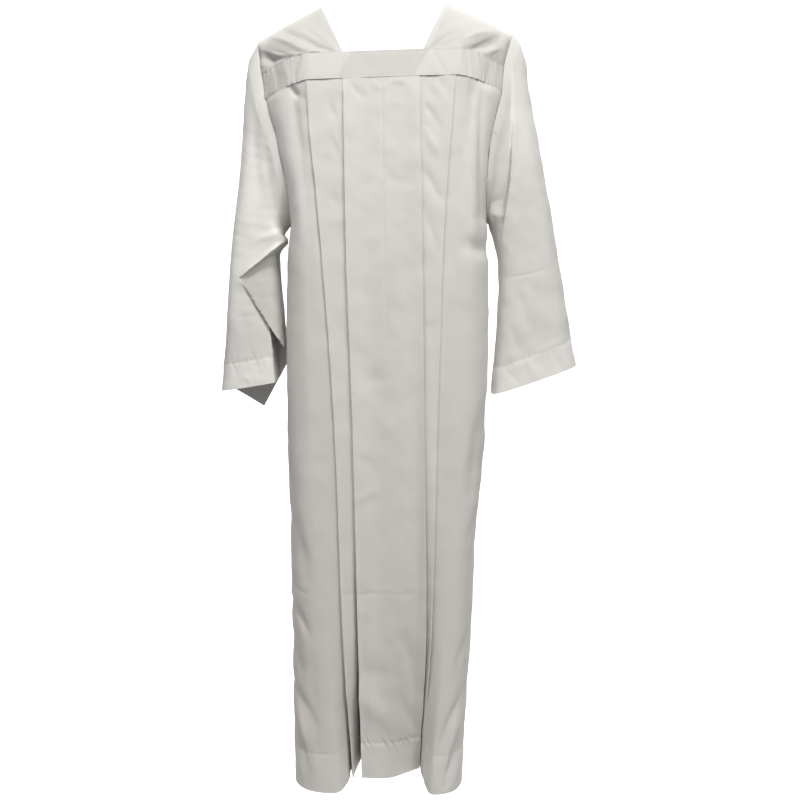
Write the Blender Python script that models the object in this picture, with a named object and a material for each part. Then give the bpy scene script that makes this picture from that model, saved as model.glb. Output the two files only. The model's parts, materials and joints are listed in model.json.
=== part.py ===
"""A long white robe with a square neck, pleated into a chest band, hanging filled out and open.

Every piece is cut cloth with a real wall. X runs across the robe, -Y is the front, Z is up, and
the origin is the middle of the line between the neck ends of the two shoulder ridges.
"""
import math

import bpy
import numpy as np

MM = 0.001                      # the tables below are in millimetres

# ---------------------------------------------------------------- driving sizes (mm)
CLOTH = 1.2                     # thickness of the cloth wall
SEAM = 0.35                     # clear space between two pieces at a seam
LEAN = 0.040                    # rise of the shoulders from one side to the other
LEAN_FROM = -160.0              # the lean is whole above this height
LEAN_TO = -760.0                # and gone below this one

NECK_HALF = 110.0               # from the middle to the neck end of a shoulder ridge
NECK_CORNER = 68.0              # from the middle to a lower corner of the square neck
RIDGE_SOFT = 0.16               # how round the shoulder ridge is, as a share of the yoke's slope

BAND_TOP_HALF = 211.0           # half of the band's upper edge
BAND_LOW_HALF = 205.5           # half of its lower edge
BAND_END_FROM = 0.60            # share of that half where the ends begin to drop
BAND_TURN_FROM = 0.60           # and where they begin to turn back

LAYER_TOP = 2.1                 # step between pleat layers at the band
LAYER = 2.4                     # the same below it

ARMHOLE = [
    # name, x_left, x_right, reach, z : one half of the armhole, from the shoulder tip down
    ("tip", 222.0, 228.0, 0.0, -56.0),
    ("crown", 220.0, 224.5, 19.0, -67.0),
    ("band_top", 212.0, 210.5, 38.0, -119.0),
    ("band_low", 205.0, 206.5, 50.0, -161.0),
    ("front", 197.0, 199.0, 60.0, -190.0),
    ("chest", 186.0, 189.5, 68.0, -228.0),
    ("deepest", 179.0, 184.0, 71.0, -264.0),
    ("under", 171.5, 181.0, 68.0, -300.0),
    ("low", 167.0, 180.5, 56.0, -335.0),
    ("turn", 165.5, 182.0, 34.0, -364.0),
    ("armpit", 165.0, 183.0, 0.0, -384.0),
]

BANDS = {
    # side: top_z, low_z, top_depth, low_depth, top_end, low_end, top_drop, low_drop
    "front": dict(top_z=-93.0, low_z=-138.5, top_depth=95.0, low_depth=107.0,
                  top_end=38.0, low_end=50.0, top_drop=26.0, low_drop=22.5),
    "back": dict(top_z=-66.0, low_z=-112.0, top_depth=88.0, low_depth=99.0,
                 top_end=32.0, low_end=44.0, top_drop=30.0, low_drop=27.0),
}

# half widths of the body, at the side seam and where it is widest
WIDTHS = [
    # z, seam_left, wide_left, wide_right, seam_right
    (-384.0, 165.0, 166.0, 184.0, 183.0),
    (-440.0, 168.0, 173.0, 188.0, 184.5),
    (-600.0, 170.0, 177.0, 190.0, 185.0),
    (-750.0, 170.0, 177.0, 187.0, 182.0),
    (-930.0, 168.0, 174.5, 169.5, 165.0),
    (-1100.0, 166.0, 173.0, 164.5, 159.0),
    (-1280.0, 163.0, 172.5, 154.0, 147.0),
    (-1412.0, 158.0, 171.0, 148.0, 138.0),
]

# depth of the centre panel's face at the levels of the folds' table
LEVELS = {
    "front": [
        # name, z, centre_depth
        ("chest", -420.0, 113.0),
        ("hip", -750.0, 113.0),
        ("knee", -1100.0, 109.0),
        ("hem", -1412.0, 81.0),
    ],
    "back": [
        ("chest", -420.0, 106.0),
        ("hip", -750.0, 112.0),
        ("knee", -1100.0, 116.0),
        ("hem", -1408.0, 112.0),
    ],
}

# one row for each fold or soft turn of a panel, from one side to the other. A fold doubles the
# cloth back, a turn only guides it. layer counts the cloths that lie over it at the band.
FOLDS = {
    "front": [
        # name, kind, layer, x_top, x_chest, x_hip, x_knee, x_hem, depth_knee, depth_hem, z_hem
        ("side_face_l", "turn", 4.0, -158.0, -128.0, -116.0, -100.0, -82.0, 114.0, 116.0, -1412.0),
        ("side_wall_l", "turn", 4.0, -144.0, -116.0, -102.0, -90.0, -69.0, 105.0, 78.0, -1408.0),
        ("inner_l", "fold", 3.5, -106.0, -84.0, -66.0, -62.0, -63.0, 94.0, 36.0, -1402.0),
        ("outer_edge_l", "fold", 2.5, -132.0, -107.0, -86.0, -74.5, -57.5, 107.5, 72.0, -1400.0),
        ("strip_l", "turn", 2.0, -84.0, -76.0, -62.0, -56.0, -52.5, 104.0, 34.0, -1400.0),
        ("under_centre_l", "fold", 1.5, -37.0, -34.0, -28.0, -46.5, -46.0, 74.0, -8.0, -1400.0),
        ("centre_edge_l", "fold", 0.5, -67.5, -64.0, -54.0, -47.0, -41.0, 106.0, 75.0, -1398.0),
        ("centre_l", "turn", 0.0, -36.0, -34.0, -26.0, -22.0, -22.0, 110.0, 82.0, -1397.0),
        ("crease", "turn", 0.0, -1.0, 1.0, 8.0, 10.0, 9.0, 109.0, 80.0, -1397.0),
        ("centre_r", "turn", 0.0, 34.0, 38.0, 42.0, 46.0, 40.0, 107.0, 60.0, -1397.0),
        ("centre_edge_r", "fold", 0.5, 62.5, 67.5, 72.0, 76.0, 65.0, 104.5, 36.0, -1397.0),
        ("under_centre_r", "fold", 1.5, 33.0, 37.0, 44.0, 54.0, 54.0, 90.0, 4.0, -1399.0),
        ("strip_r", "turn", 2.0, 78.0, 76.0, 76.0, 70.0, 66.5, 94.5, 12.0, -1400.0),
        ("outer_edge_r", "fold", 2.5, 123.0, 104.0, 95.0, 86.0, 69.5, 104.5, 46.0, -1402.0),
        ("inner_r", "fold", 3.5, 97.0, 82.0, 76.0, 76.0, 72.5, 88.0, -2.0, -1404.0),
        ("side_wall_r", "turn", 4.0, 144.0, 114.0, 107.0, 98.0, 74.5, 103.0, 72.0, -1408.0),
        ("side_face_r", "turn", 4.0, 158.0, 130.0, 121.0, 109.0, 81.0, 113.0, 122.0, -1412.0),
    ],
    "back": [
        ("side_face_l", "turn", 4.0, -158.0, -130.0, -122.0, -118.0, -112.0, 115.0, 126.0, -1408.0),
        ("side_wall_l", "turn", 4.0, -144.0, -116.0, -108.0, -100.0, -90.0, 104.0, 106.0, -1406.0),
        ("inner_l", "fold", 3.5, -100.0, -82.0, -74.0, -72.0, -74.0, 100.0, 74.0, -1403.0),
        ("outer_edge_l", "fold", 2.5, -126.0, -108.0, -98.0, -88.0, -76.0, 109.0, 112.0, -1403.0),
        ("strip_l", "turn", 2.0, -84.0, -76.0, -70.0, -62.0, -60.0, 108.0, 98.0, -1403.0),
        ("under_centre_l", "fold", 1.5, -34.0, -33.0, -32.0, -40.0, -50.0, 98.0, 62.0, -1402.0),
        ("centre_edge_l", "fold", 0.5, -64.0, -62.0, -58.0, -52.0, -44.0, 112.0, 108.0, -1402.0),
        ("centre_l", "turn", 0.0, -34.0, -33.0, -30.0, -26.0, -24.0, 117.0, 114.0, -1402.0),
        ("crease", "turn", 0.0, 0.0, 1.0, 2.0, 2.0, 2.0, 116.0, 110.0, -1402.0),
        ("centre_r", "turn", 0.0, 34.0, 35.0, 34.0, 30.0, 26.0, 117.0, 114.0, -1402.0),
        ("centre_edge_r", "fold", 0.5, 64.0, 64.0, 62.0, 56.0, 46.0, 112.0, 108.0, -1402.0),
        ("under_centre_r", "fold", 1.5, 34.0, 35.0, 36.0, 44.0, 52.0, 98.0, 64.0, -1402.0),
        ("strip_r", "turn", 2.0, 84.0, 78.0, 74.0, 66.0, 61.0, 108.0, 98.0, -1403.0),
        ("outer_edge_r", "fold", 2.5, 126.0, 110.0, 102.0, 90.0, 76.0, 109.0, 112.0, -1403.0),
        ("inner_r", "fold", 3.5, 100.0, 84.0, 78.0, 74.0, 74.0, 100.0, 76.0, -1403.0),
        ("side_wall_r", "turn", 4.0, 144.0, 117.0, 110.0, 101.0, 88.0, 104.0, 105.0, -1406.0),
        ("side_face_r", "turn", 4.0, 158.0, 131.0, 123.0, 114.0, 102.0, 114.0, 124.0, -1408.0),
    ],
}

SLEEVES = {
    # outer line and inner line of each section, its reach to front and back, and how far the
    # front and the back of it hang below the straight line between the two
    "left": [
        # name, x_out, z_out, x_in, z_in, front, back, hang_front, hang_back
        ("cap", -240.0, -90.0, -171.0, -385.5, 68.0, 66.0, 0.0, 0.0),
        ("upper", -247.0, -150.0, -174.0, -391.0, 63.0, 62.0, 0.0, 0.0),
        ("upper_2", -251.5, -215.0, -178.0, -396.0, 60.0, 58.0, 0.0, 0.0),
        ("arm", -257.0, -290.0, -180.0, -401.0, 58.0, 56.0, 0.0, 0.0),
        ("arm_2", -267.0, -375.0, -181.0, -406.0, 58.0, 55.0, 0.0, 0.0),
        ("tuck_lip", -275.0, -452.0, -182.0, -413.0, 60.0, 55.0, 2.0, 0.0),
        ("tuck_floor", -278.0, -486.0, -196.0, -438.0, 44.0, 55.0, 0.0, 2.0),
        ("forearm", -283.0, -550.0, -190.0, -490.0, 46.0, 56.0, 2.0, 10.0),
        ("forearm_2", -288.0, -612.0, -184.0, -560.0, 52.0, 58.0, 8.0, 26.0),
        ("cuff_line", -291.0, -650.0, -180.0, -604.0, 56.0, 60.0, 14.0, 44.0),
        ("cuff", -295.0, -679.0, -179.0, -630.0, 58.0, 60.0, 20.0, 60.0),
    ],
    "right": [
        ("cap", 242.0, -74.0, 189.0, -386.0, 68.0, 66.0, 0.0, 0.0),
        ("upper", 252.0, -106.0, 191.0, -396.0, 62.0, 62.0, 0.0, 0.0),
        ("upper_2", 258.0, -150.0, 195.0, -406.0, 59.0, 58.0, 0.0, 0.0),
        ("arm", 269.0, -210.0, 199.0, -418.0, 56.0, 54.0, 0.0, 0.0),
        ("arm_2", 284.0, -290.0, 204.0, -436.0, 53.0, 52.0, 0.0, 0.0),
        ("elbow", 300.0, -370.0, 208.0, -460.0, 51.0, 50.0, 0.0, 0.0),
        ("elbow_2", 314.0, -446.0, 209.0, -500.0, 50.0, 50.0, 0.0, 0.0),
        ("forearm", 326.0, -512.0, 207.0, -550.0, 50.0, 50.0, 0.0, 0.0),
        ("forearm_2", 336.0, -568.0, 204.0, -600.0, 50.0, 50.0, 0.0, 2.0),
        ("cuff_line", 343.0, -606.0, 200.0, -646.0, 50.0, 50.0, 0.0, 4.0),
        ("cuff", 349.5, -638.0, 197.0, -690.0, 50.0, 50.0, 0.0, 8.0),
    ],
}

SQUARE_Z = [-161.0, -264.0, -384.0, -600.0]         # heights at which SQUARE says how boxy the
SQUARE = [1.75, 2.1, 2.45, 2.6]                     # plan of the sides is, 2 being an ellipse
HEM_SIDE_RISE = 10.0            # how much higher the hem is at the side seams
ARMHOLE_STEPS = 7               # steps of a panel's edge along the armhole
SIDE_STEPS = 7                  # steps of a panel from the armhole or side seam to its flat
YOKE_STEPS = 6                  # steps of a yoke from the ridge to the band
UNDER_FROM = 6.0                # row of the armhole's table where its underside begins
LOWER_ROWS = [0.06, 0.15, 0.26, 0.37, 0.48, 0.59, 0.69, 0.78, 0.86, 0.93, 1.0]   # down to the hem
SLEEVE_HALF = YOKE_STEPS + 2 + ARMHOLE_STEPS       # steps around half of a sleeve
RING_STEPS = 1.5                # rings for each section of a sleeve's table
ARMHOLE_FADE = 4.0              # sections over which a sleeve loses the armhole's own form


def clear_scene():
    for obj in list(bpy.data.objects):
        bpy.data.objects.remove(obj, do_unlink=True)


def glide(knots, values, at):
    """Smooth curve through a table that never swings past its own values."""
    knots = np.asarray(knots, float)
    values = np.asarray(values, float)
    sign = 1.0 if knots[-1] > knots[0] else -1.0
    k = knots * sign
    step = np.diff(k)
    rise = np.diff(values, axis=0) / step.reshape([-1] + [1] * (values.ndim - 1))
    slope = np.zeros_like(values)
    slope[0] = rise[0]
    slope[-1] = rise[-1]
    for i in range(1, len(k) - 1):
        a, b = rise[i - 1], rise[i]
        both = np.where(a * b > 0, 2.0 * a * b / np.where(a + b == 0, 1.0, a + b), 0.0)
        slope[i] = both
    x = min(max(at * sign, k[0]), k[-1])
    i = int(min(max(np.searchsorted(k, x) - 1, 0), len(step) - 1))
    t = (x - k[i]) / step[i]
    h = step[i]
    return ((2 * t ** 3 - 3 * t ** 2 + 1) * values[i] + (t ** 3 - 2 * t ** 2 + t) * h * slope[i]
            + (3 * t ** 2 - 2 * t ** 3) * values[i + 1] + (t ** 3 - t ** 2) * h * slope[i + 1])


def leaned(points):
    """Lift one shoulder a little over the other."""
    p = np.array(points, float)
    share = np.clip((p[..., 2] - LEAN_TO) / (LEAN_FROM - LEAN_TO), 0.0, 1.0)
    p[..., 2] += LEAN * 0.8 * p[..., 0] * share
    return p


def armhole(side, face, t):
    """A point of the armhole, t counting the table's rows from the shoulder tip."""
    rows = np.array([[row[1], row[2], row[3], row[4]] for row in ARMHOLE])
    x_left, x_right, reach, z = glide(range(len(rows)), rows, t)
    x = -x_left if side == "left" else x_right
    return np.array([x, -reach if face == "front" else reach, z])


def armhole_at(face, z):
    """The row count t at which the armhole passes a height."""
    low, high = 0.0, len(ARMHOLE) - 1.0
    for _ in range(40):
        mid = 0.5 * (low + high)
        if armhole("left", face, mid)[2] > z:
            low = mid
        else:
            high = mid
    return low


def seam_steps(face):
    """The counts t at which the yoke, the band and the panel each meet the sleeve."""
    b = BANDS[face]
    top = armhole_at(face, b["top_z"] - b["top_drop"])
    low = armhole_at(face, b["low_z"] - b["low_drop"])
    last = len(ARMHOLE) - 1.0
    yoke_part = [top * i / YOKE_STEPS for i in range(YOKE_STEPS + 1)]
    panel_part = [low + (last - low) * i / ARMHOLE_STEPS for i in range(ARMHOLE_STEPS + 1)]
    return yoke_part, 0.5 * (top + low), panel_part


def seam_away(side, t):
    """Direction in which the sleeve leaves the armhole, and the space it keeps."""
    under = max(0.0, (t - UNDER_FROM) / (len(ARMHOLE) - 1.0 - UNDER_FROM))
    turn = under * math.pi / 2.0
    tip = max(0.0, 1.0 - t)
    sign = -1.0 if side == "left" else 1.0
    away = np.array([sign * math.cos(turn), 0.0, math.sin(turn) - 0.45 * tip])
    return away / np.linalg.norm(away), SEAM + 0.1 + 0.5 * under


def seam_normal(side, face, t):
    """Direction of the cloth's thickness at the armhole, shared by all pieces that meet there."""
    a = armhole(side, face, max(t - 0.1, 0.0))
    b = armhole(side, face, min(t + 0.1, len(ARMHOLE) - 1.0))
    along = b - a
    if t < 0.1 or t > len(ARMHOLE) - 1.1:
        along = np.array([0.0, 1.0, 0.0])
    n = np.cross(along, seam_away(side, t)[0])
    return n / np.linalg.norm(n)


def band_edge(face, edge, s):
    """A point of the band's upper or lower edge, s from -1 at one armhole to 1 at the other."""
    b = BANDS[face]
    half = BAND_TOP_HALF if edge == "top" else BAND_LOW_HALF
    drop = b[edge + "_drop"] * max(0.0, (abs(s) - BAND_END_FROM) / (1.0 - BAND_END_FROM)) ** 1.5
    turn = max(0.0, (abs(s) - BAND_TURN_FROM) / (1.0 - BAND_TURN_FROM)) ** 1.55
    depth = b[edge + "_depth"] + (b[edge + "_end"] - b[edge + "_depth"]) * turn
    point = np.array([half * s, -depth if face == "front" else depth, b[edge + "_z"] - drop])
    side = "left" if s < 0 else "right"
    t = armhole_at(face, b[edge + "_z"] - b[edge + "_drop"])
    end = armhole(side, face, t)
    flat = np.array([half * np.sign(s), -b[edge + "_end"] if face == "front" else b[edge + "_end"],
                     b[edge + "_z"] - b[edge + "_drop"]])
    return point + (end - flat) * abs(s) ** 8


def band_depth(face, x):
    return abs(band_edge(face, "low", x / BAND_LOW_HALF)[1])


def wall(name, grid, loop=False, flat=(), seams=None):
    """A closed cloth wall around a grid of points.

    flat names edges cut square to an axis, and seams gives the direction of the thickness at
    the points of a seam.
    """
    seams = seams or {}
    p = leaned(grid)
    rows, cols = p.shape[:2]
    face_cols = cols if loop else cols - 1
    face_n = np.zeros((rows - 1, face_cols, 3))
    for r in range(rows - 1):
        for c in range(face_cols):
            d = (c + 1) % cols
            n = np.cross(p[r + 1, d] - p[r, c], p[r + 1, c] - p[r, d])
            face_n[r, c] = n / max(np.linalg.norm(n), 1e-12)
    offset = np.zeros_like(p)
    for r in range(rows):
        for c in range(cols):
            near = []
            for rr in (r - 1, r):
                for cc in (c - 1, c):
                    if loop:
                        cc = cc % cols
                    if 0 <= rr < rows - 1 and 0 <= cc < face_cols:
                        near.append(face_n[rr, cc])
            n = np.sum(near, axis=0)
            if (r, c) in seams:
                shared = seams[(r, c)]
                offset[r, c] = shared * math.copysign(CLOTH / 2.0, float(np.dot(shared, n)))
                continue
            for edge, axis in flat:
                on = {"first_row": r == 0, "last_row": r == rows - 1,
                      "first_col": c == 0, "last_col": c == cols - 1}[edge]
                if on:
                    n[axis] = 0.0
            n = n / max(np.linalg.norm(n), 1e-12)
            lean = min(float(np.dot(n, m)) for m in near)
            offset[r, c] = n * (CLOTH / 2.0) / max(lean, 0.62)
    verts = np.concatenate([(p + offset).reshape(-1, 3), (p - offset).reshape(-1, 3)]) * MM
    shift = rows * cols

    def at(r, c, under):
        return r * cols + (c % cols) + (shift if under else 0)

    faces = []
    for r in range(rows - 1):
        for c in range(face_cols):
            a, e = p[r, c], p[r, (c + 1) % cols]
            straight = a[0] <= e[0]
            for under in (False, True):
                q = [at(r, c, under), at(r, c + 1, under), at(r + 1, c + 1, under), at(r + 1, c, under)]
                halves = [(q[0], q[1], q[2]), (q[0], q[2], q[3])]
                if not straight:
                    halves = [(q[0], q[1], q[3]), (q[1], q[2], q[3])]
                for tri in halves:
                    faces.append(tri[::-1] if under else tri)
    last = rows - 1
    for c in range(face_cols):
        faces.append((at(0, c, True), at(0, c + 1, True), at(0, c + 1, False), at(0, c, False)))
        faces.append((at(last, c + 1, True), at(last, c, True), at(last, c, False),
                      at(last, c + 1, False)))
    if not loop:
        end = cols - 1
        for r in range(rows - 1):
            faces.append((at(r, 0, False), at(r + 1, 0, False), at(r + 1, 0, True), at(r, 0, True)))
            faces.append((at(r, end, True), at(r + 1, end, True), at(r + 1, end, False),
                          at(r, end, False)))
    mesh = bpy.data.meshes.new(name)
    mesh.from_pydata([tuple(v) for v in verts], [], faces)
    mesh.validate()
    mesh.update()
    obj = bpy.data.objects.new(name, mesh)
    bpy.context.scene.collection.objects.link(obj)
    mesh.materials.append(cotton(name))
    return obj


def cotton(name):
    mat = bpy.data.materials.new(name + "_cotton")
    mat.use_nodes = True
    shader = mat.node_tree.nodes["Principled BSDF"]
    shader.inputs["Base Color"].default_value = (0.80, 0.80, 0.77, 1.0)
    shader.inputs["Roughness"].default_value = 0.75
    return mat


def side_point(face, side, z, share, flat_point):
    """Plan of a panel's side at a height: share 0 at the armhole or side seam, 1 at its flat.

    The plan is a quarter of a boxy oval. Above the armpit the armhole cuts it short.
    """
    sign = -1.0 if side == "left" else 1.0
    column = (1, 2) if side == "left" else (4, 3)
    seam, wide = [glide([row[0] for row in WIDTHS], [row[k] for row in WIDTHS], z) for k in column]
    flat_x, flat_depth = sign * flat_point[0], flat_point[1]
    power = 2.0 / glide(SQUARE_Z, SQUARE, z)
    first = 0.0
    if z > ARMHOLE[-1][4]:
        cut_x, cut_depth = np.abs(armhole(side, face, armhole_at(face, z))[:2])
        first = math.asin(min(1.0, (cut_depth / flat_depth) ** (1.0 / power)))
        wide = flat_x + (cut_x - flat_x) / math.cos(first) ** power
        seam = wide
    angle = first + (math.pi / 2.0 - first) * share
    depth = flat_depth * math.sin(angle) ** power
    x = flat_x + (wide - flat_x) * max(0.0, math.cos(angle)) ** power
    x += (seam - wide) * max(0.0, 1.0 - depth / (0.55 * flat_depth)) ** 2
    return np.array([sign * x, depth])


def doubled(before, tip, after, radius):
    """The three points of a fold that turns the cloth back on itself."""
    before, tip, after = np.array(before), np.array(tip), np.array(after)
    out = tip - 0.5 * (before + after)
    out = out / max(np.linalg.norm(out), 1e-9)
    across = np.array([-out[1], out[0]])
    if np.dot(across, before - after) < 0:
        across = -across
    return [tip - out * radius + across * radius, tip, tip - out * radius - across * radius]


def panel_level(face, level):
    """Plan points of a panel at one of its levels, from one side seam to the other."""
    folds = FOLDS[face]
    if level == "top":
        pts = [(row[3], band_depth(face, row[3]) - LAYER_TOP * row[2]) for row in folds]
        radius = LAYER_TOP / 2.0
    else:
        rows = {row[0]: row for row in LEVELS[face]}
        column = {"chest": 4, "hip": 5, "knee": 6, "hem": 7}[level]
        if level in ("chest", "hip"):
            pts = [(row[column], rows[level][2] - LAYER * row[2]) for row in folds]
            radius = LAYER / 2.0
        else:
            pts = [(row[column], row[8] if level == "knee" else row[9]) for row in folds]
            radius = 1.7 if level == "knee" else 1.9
    middle = []
    for i, row in enumerate(folds):
        if row[1] == "fold":
            middle += doubled(pts[i - 1], pts[i], pts[i + 1], radius)
        else:
            middle.append(np.array(pts[i]))
    return middle


def panel_columns(face):
    """For every column of a panel, its knots (height, x, depth) from the top edge to the hem."""
    tables = {name: panel_level(face, name) for name in ("top", "chest", "hip", "knee", "hem")}
    levels = {row[0]: row for row in LEVELS[face]}
    hem_z = []
    for row in FOLDS[face]:
        hem_z += [row[10]] * (3 if row[1] == "fold" else 1)
    columns = []
    for k in range(len(tables["top"])):
        x, y = tables["top"][k]
        top_z = band_edge(face, "low", x / BAND_LOW_HALF)[2] - SEAM
        knots = [(top_z, x, y)]
        for name in ("chest", "hip", "knee"):
            knots.append((levels[name][1], *tables[name][k]))
        knots.append((hem_z[k], *tables["hem"][k]))
        columns.append(knots)
    return columns


def row_shares(face):
    """Heights of a panel's rows: shares of the way down to the armpit, then on to the hem."""
    steps = [armhole(("left"), face, t)[2] for t in seam_steps(face)[2]]
    upper = [(steps[0] - z) / (steps[0] - steps[-1]) for z in steps]
    return upper, LOWER_ROWS


def panel(name, face):
    upper, lower = row_shares(face)
    pit_z = ARMHOLE[-1][4]
    hem_z = LEVELS[face][-1][1]
    knots_all = panel_columns(face)
    seam_t = seam_steps(face)[2]

    def heights(top, end):
        return ([top + (pit_z - top) * w for w in upper]
                + [pit_z + (end - pit_z) * w for w in lower])

    columns = []
    for knots in knots_all:
        zs = [k[0] for k in knots]
        values = [(k[1], k[2]) for k in knots]
        columns.append([(*glide(zs, values, z), z) for z in heights(zs[0], zs[-1])])
    sides = {}
    for side, index in (("left", 0), ("right", -1)):
        sign = -1.0 if side == "left" else 1.0
        knots = knots_all[index]
        zs = [k[0] for k in knots]
        values = [(k[1], k[2]) for k in knots]
        edge = [armhole(side, face, t)[2] for t in seam_t]
        edge[0] -= 2.0 * SEAM
        sides[side] = []
        for i in range(SIDE_STEPS):
            share = i / SIDE_STEPS
            x = sign * BAND_LOW_HALF
            top = band_edge(face, "low", (x + (knots[0][1] - x) * share) / BAND_LOW_HALF)
            end = hem_z + HEM_SIDE_RISE * (1.0 - share) ** 2
            flat = heights(zs[0], end)
            column = [(top[0], abs(top[1]) - 4.0 * LAYER_TOP * share,
                       top[2] - SEAM * (2.0 - share))]
            for r in range(1, len(flat)):
                z = flat[r]
                if r < len(edge):
                    z = edge[r] + (flat[r] - edge[r]) * share
                x, y = side_point(face, side, z, share, glide(zs, values, max(z, zs[-1])))
                if i == 0 and r < len(edge):
                    x, y, z = armhole(side, face, seam_t[r])
                column.append((x, abs(y), z))
            sides[side].append(column)
    grid = np.array(sides["left"] + columns + sides["right"][::-1]).transpose(1, 0, 2)
    grid[:, 0, 1] = np.maximum(grid[:, 0, 1], SEAM / 2.0)
    grid[:, -1, 1] = np.maximum(grid[:, -1, 1], SEAM / 2.0)
    last = grid.shape[1] - 1
    if face == "front":
        grid[..., 1] *= -1.0
    else:
        grid = grid[:, ::-1]
    seams = {}
    for r, t in enumerate(seam_t):
        seams[(r, 0 if face == "front" else last)] = seam_normal("left", face, t)
        seams[(r, last if face == "front" else 0)] = seam_normal("right", face, t)
    flat = (("first_row", 2), ("first_col", 1), ("last_col", 1))
    return wall(name, grid, flat=flat, seams=seams)


def band(name, face):
    flat_x = abs(FOLDS[face][0][3])
    ends = [BAND_LOW_HALF + (flat_x - BAND_LOW_HALF) * i / SIDE_STEPS for i in range(SIDE_STEPS + 1)]
    half = ends + [abs(FOLDS[face][1][3]), 132.0, BAND_LOW_HALF * BAND_END_FROM, 96.0, 64.0, 32.0]
    shares = [-x / BAND_LOW_HALF for x in half] + [0.0] + [x / BAND_LOW_HALF for x in half[::-1]]
    yoke_part, middle, panel_part = seam_steps(face)
    grid = []
    for part, t in ((0.0, yoke_part[-1]), (0.5, middle), (1.0, panel_part[0])):
        row = []
        for s in shares:
            top = band_edge(face, "top", s)
            low = band_edge(face, "low", s)
            p = top + (low - top) * part
            if abs(s) == 1.0:
                p = armhole("left" if s < 0 else "right", face, t)
            row.append(p)
        grid.append(row)
    grid = np.array(grid)
    seams = {}
    for r, t in enumerate((yoke_part[-1], middle, panel_part[0])):
        for side, c in (("left", 0), ("right", len(shares) - 1)):
            if face == "back":
                c = len(shares) - 1 - c
            seams[(r, c)] = seam_normal(side, face, t)
    if face == "back":
        grid = grid[:, ::-1]
    return wall(name, grid, flat=(("first_row", 2), ("last_row", 2)), seams=seams)


def yoke(name, side):
    sign = -1.0 if side == "left" else 1.0
    across = 10
    down = YOKE_STEPS
    neck = np.array([sign * NECK_HALF, 0.0, 0.0])
    tip = armhole(side, "front", 0.0)
    halves = {}
    for face in ("front", "back"):
        b = BANDS[face]
        t_end = armhole_at(face, b["top_z"] - b["top_drop"])
        inner = NECK_CORNER / BAND_TOP_HALF
        half = []
        for j in range(down + 1):
            share = j / down
            soft = (math.sqrt(share ** 2 + RIDGE_SOFT ** 2) - RIDGE_SOFT) / (
                math.sqrt(1.0 + RIDGE_SOFT ** 2) - RIDGE_SOFT)
            bow = 1.0 - math.cos(share * math.pi / 2.0)
            fall = 0.65 * soft + 0.35 * bow
            out = 0.65 * share + 0.35 * math.sin(share * math.pi / 2.0)
            row = []
            for i in range(across + 1):
                a = i / across
                ridge = neck + (tip - neck) * a
                s = sign * (inner + (1.0 - inner) * a)
                foot = band_edge(face, "top", s)
                foot[2] += SEAM
                p = ridge + (foot - ridge) * np.array([fall, out, fall])
                if i == across:
                    p = armhole(side, face, t_end * share)
                    if j == down:
                        p[2] += SEAM
                else:
                    end_foot = band_edge(face, "top", sign)
                    end_foot[2] += SEAM
                    plain = tip + (end_foot - tip) * np.array([fall, out, fall])
                    p = p + (armhole(side, face, t_end * share) - plain) * a ** 4
                row.append(p)
            half.append(row)
        halves[face] = half
    grid = np.array(halves["front"][::-1] + halves["back"][1:])
    end = 0 if side == "right" else across
    seams = {}
    for face, direction in (("front", -1), ("back", 1)):
        for j, t in enumerate(seam_steps(face)[0]):
            seams[(down + direction * j, end)] = seam_normal(side, face, t)
    if side == "right":
        grid = grid[:, ::-1]
    return wall(name, grid, flat=(("first_row", 2), ("last_row", 2)), seams=seams)


def sleeve_loop(side):
    """The armhole as the sleeve's first ring, just outside the pieces it is set into."""
    halves = {}
    normals = {}
    for face in ("front", "back"):
        yoke_part, middle, panel_part = seam_steps(face)
        steps = yoke_part + [middle] + panel_part
        halves[face] = []
        for t in steps:
            away, gap = seam_away(side, t)
            halves[face].append(armhole(side, face, t) + away * gap)
        normals[face] = [seam_normal(side, face, t) for t in steps]
    ring = np.array(halves["front"] + halves["back"][1:-1][::-1])
    return ring, normals["front"] + normals["back"][1:-1][::-1]


def sleeve_ring(row, loop, keep):
    """One section of a sleeve: an oval, or the armhole's own form where keep is 1."""
    x_out, z_out, x_in, z_in, front, back, hang_front, hang_back = row
    tip, pit = loop[0], loop[SLEEVE_HALF]
    deepest = np.abs(loop[:, 1]).max()
    ring = []
    for i in range(2 * SLEEVE_HALF):
        angle = math.pi * i / SLEEVE_HALF
        power = 2.0 / 2.2
        along = 0.5 - 0.5 * math.copysign(abs(math.cos(angle)) ** power, math.cos(angle))
        bulge = abs(math.sin(angle)) ** power
        reach, hang = (front, hang_front) if i <= SLEEVE_HALF else (back, hang_back)
        share = (tip[2] - loop[i, 2]) / (tip[2] - pit[2])
        bow = loop[i, 0] - (tip[0] + (pit[0] - tip[0]) * share)
        along += (share - along) * keep
        bulge += (abs(loop[i, 1]) / deepest - bulge) * keep
        y = -reach * bulge if i <= SLEEVE_HALF else reach * bulge
        ring.append((x_out + (x_in - x_out) * along + bow * keep, y,
                     z_out + (z_in - z_out) * along - hang * bulge))
    return np.array(ring)


def sleeve(name, side):
    loop, normals = sleeve_loop(side)
    table = np.array([row[1:] for row in SLEEVES[side]], float)
    rings = [loop]
    count = int(round(len(table) * RING_STEPS))
    for k in range(count):
        t = (len(table) - 1.0) * k / (count - 1.0)
        keep = max(0.0, 1.0 - t / ARMHOLE_FADE)
        keep = keep * keep * (3.0 - 2.0 * keep)
        rings.append(sleeve_ring(glide(range(len(table)), table, t), loop, keep))
    grid = np.array(rings)
    last = len(normals) - 1
    seams = {(0, last - c if side == "right" else c): n for c, n in enumerate(normals)}
    if side == "right":
        grid = grid[:, ::-1]
    return wall(name, grid, loop=True, seams=seams)


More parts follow.
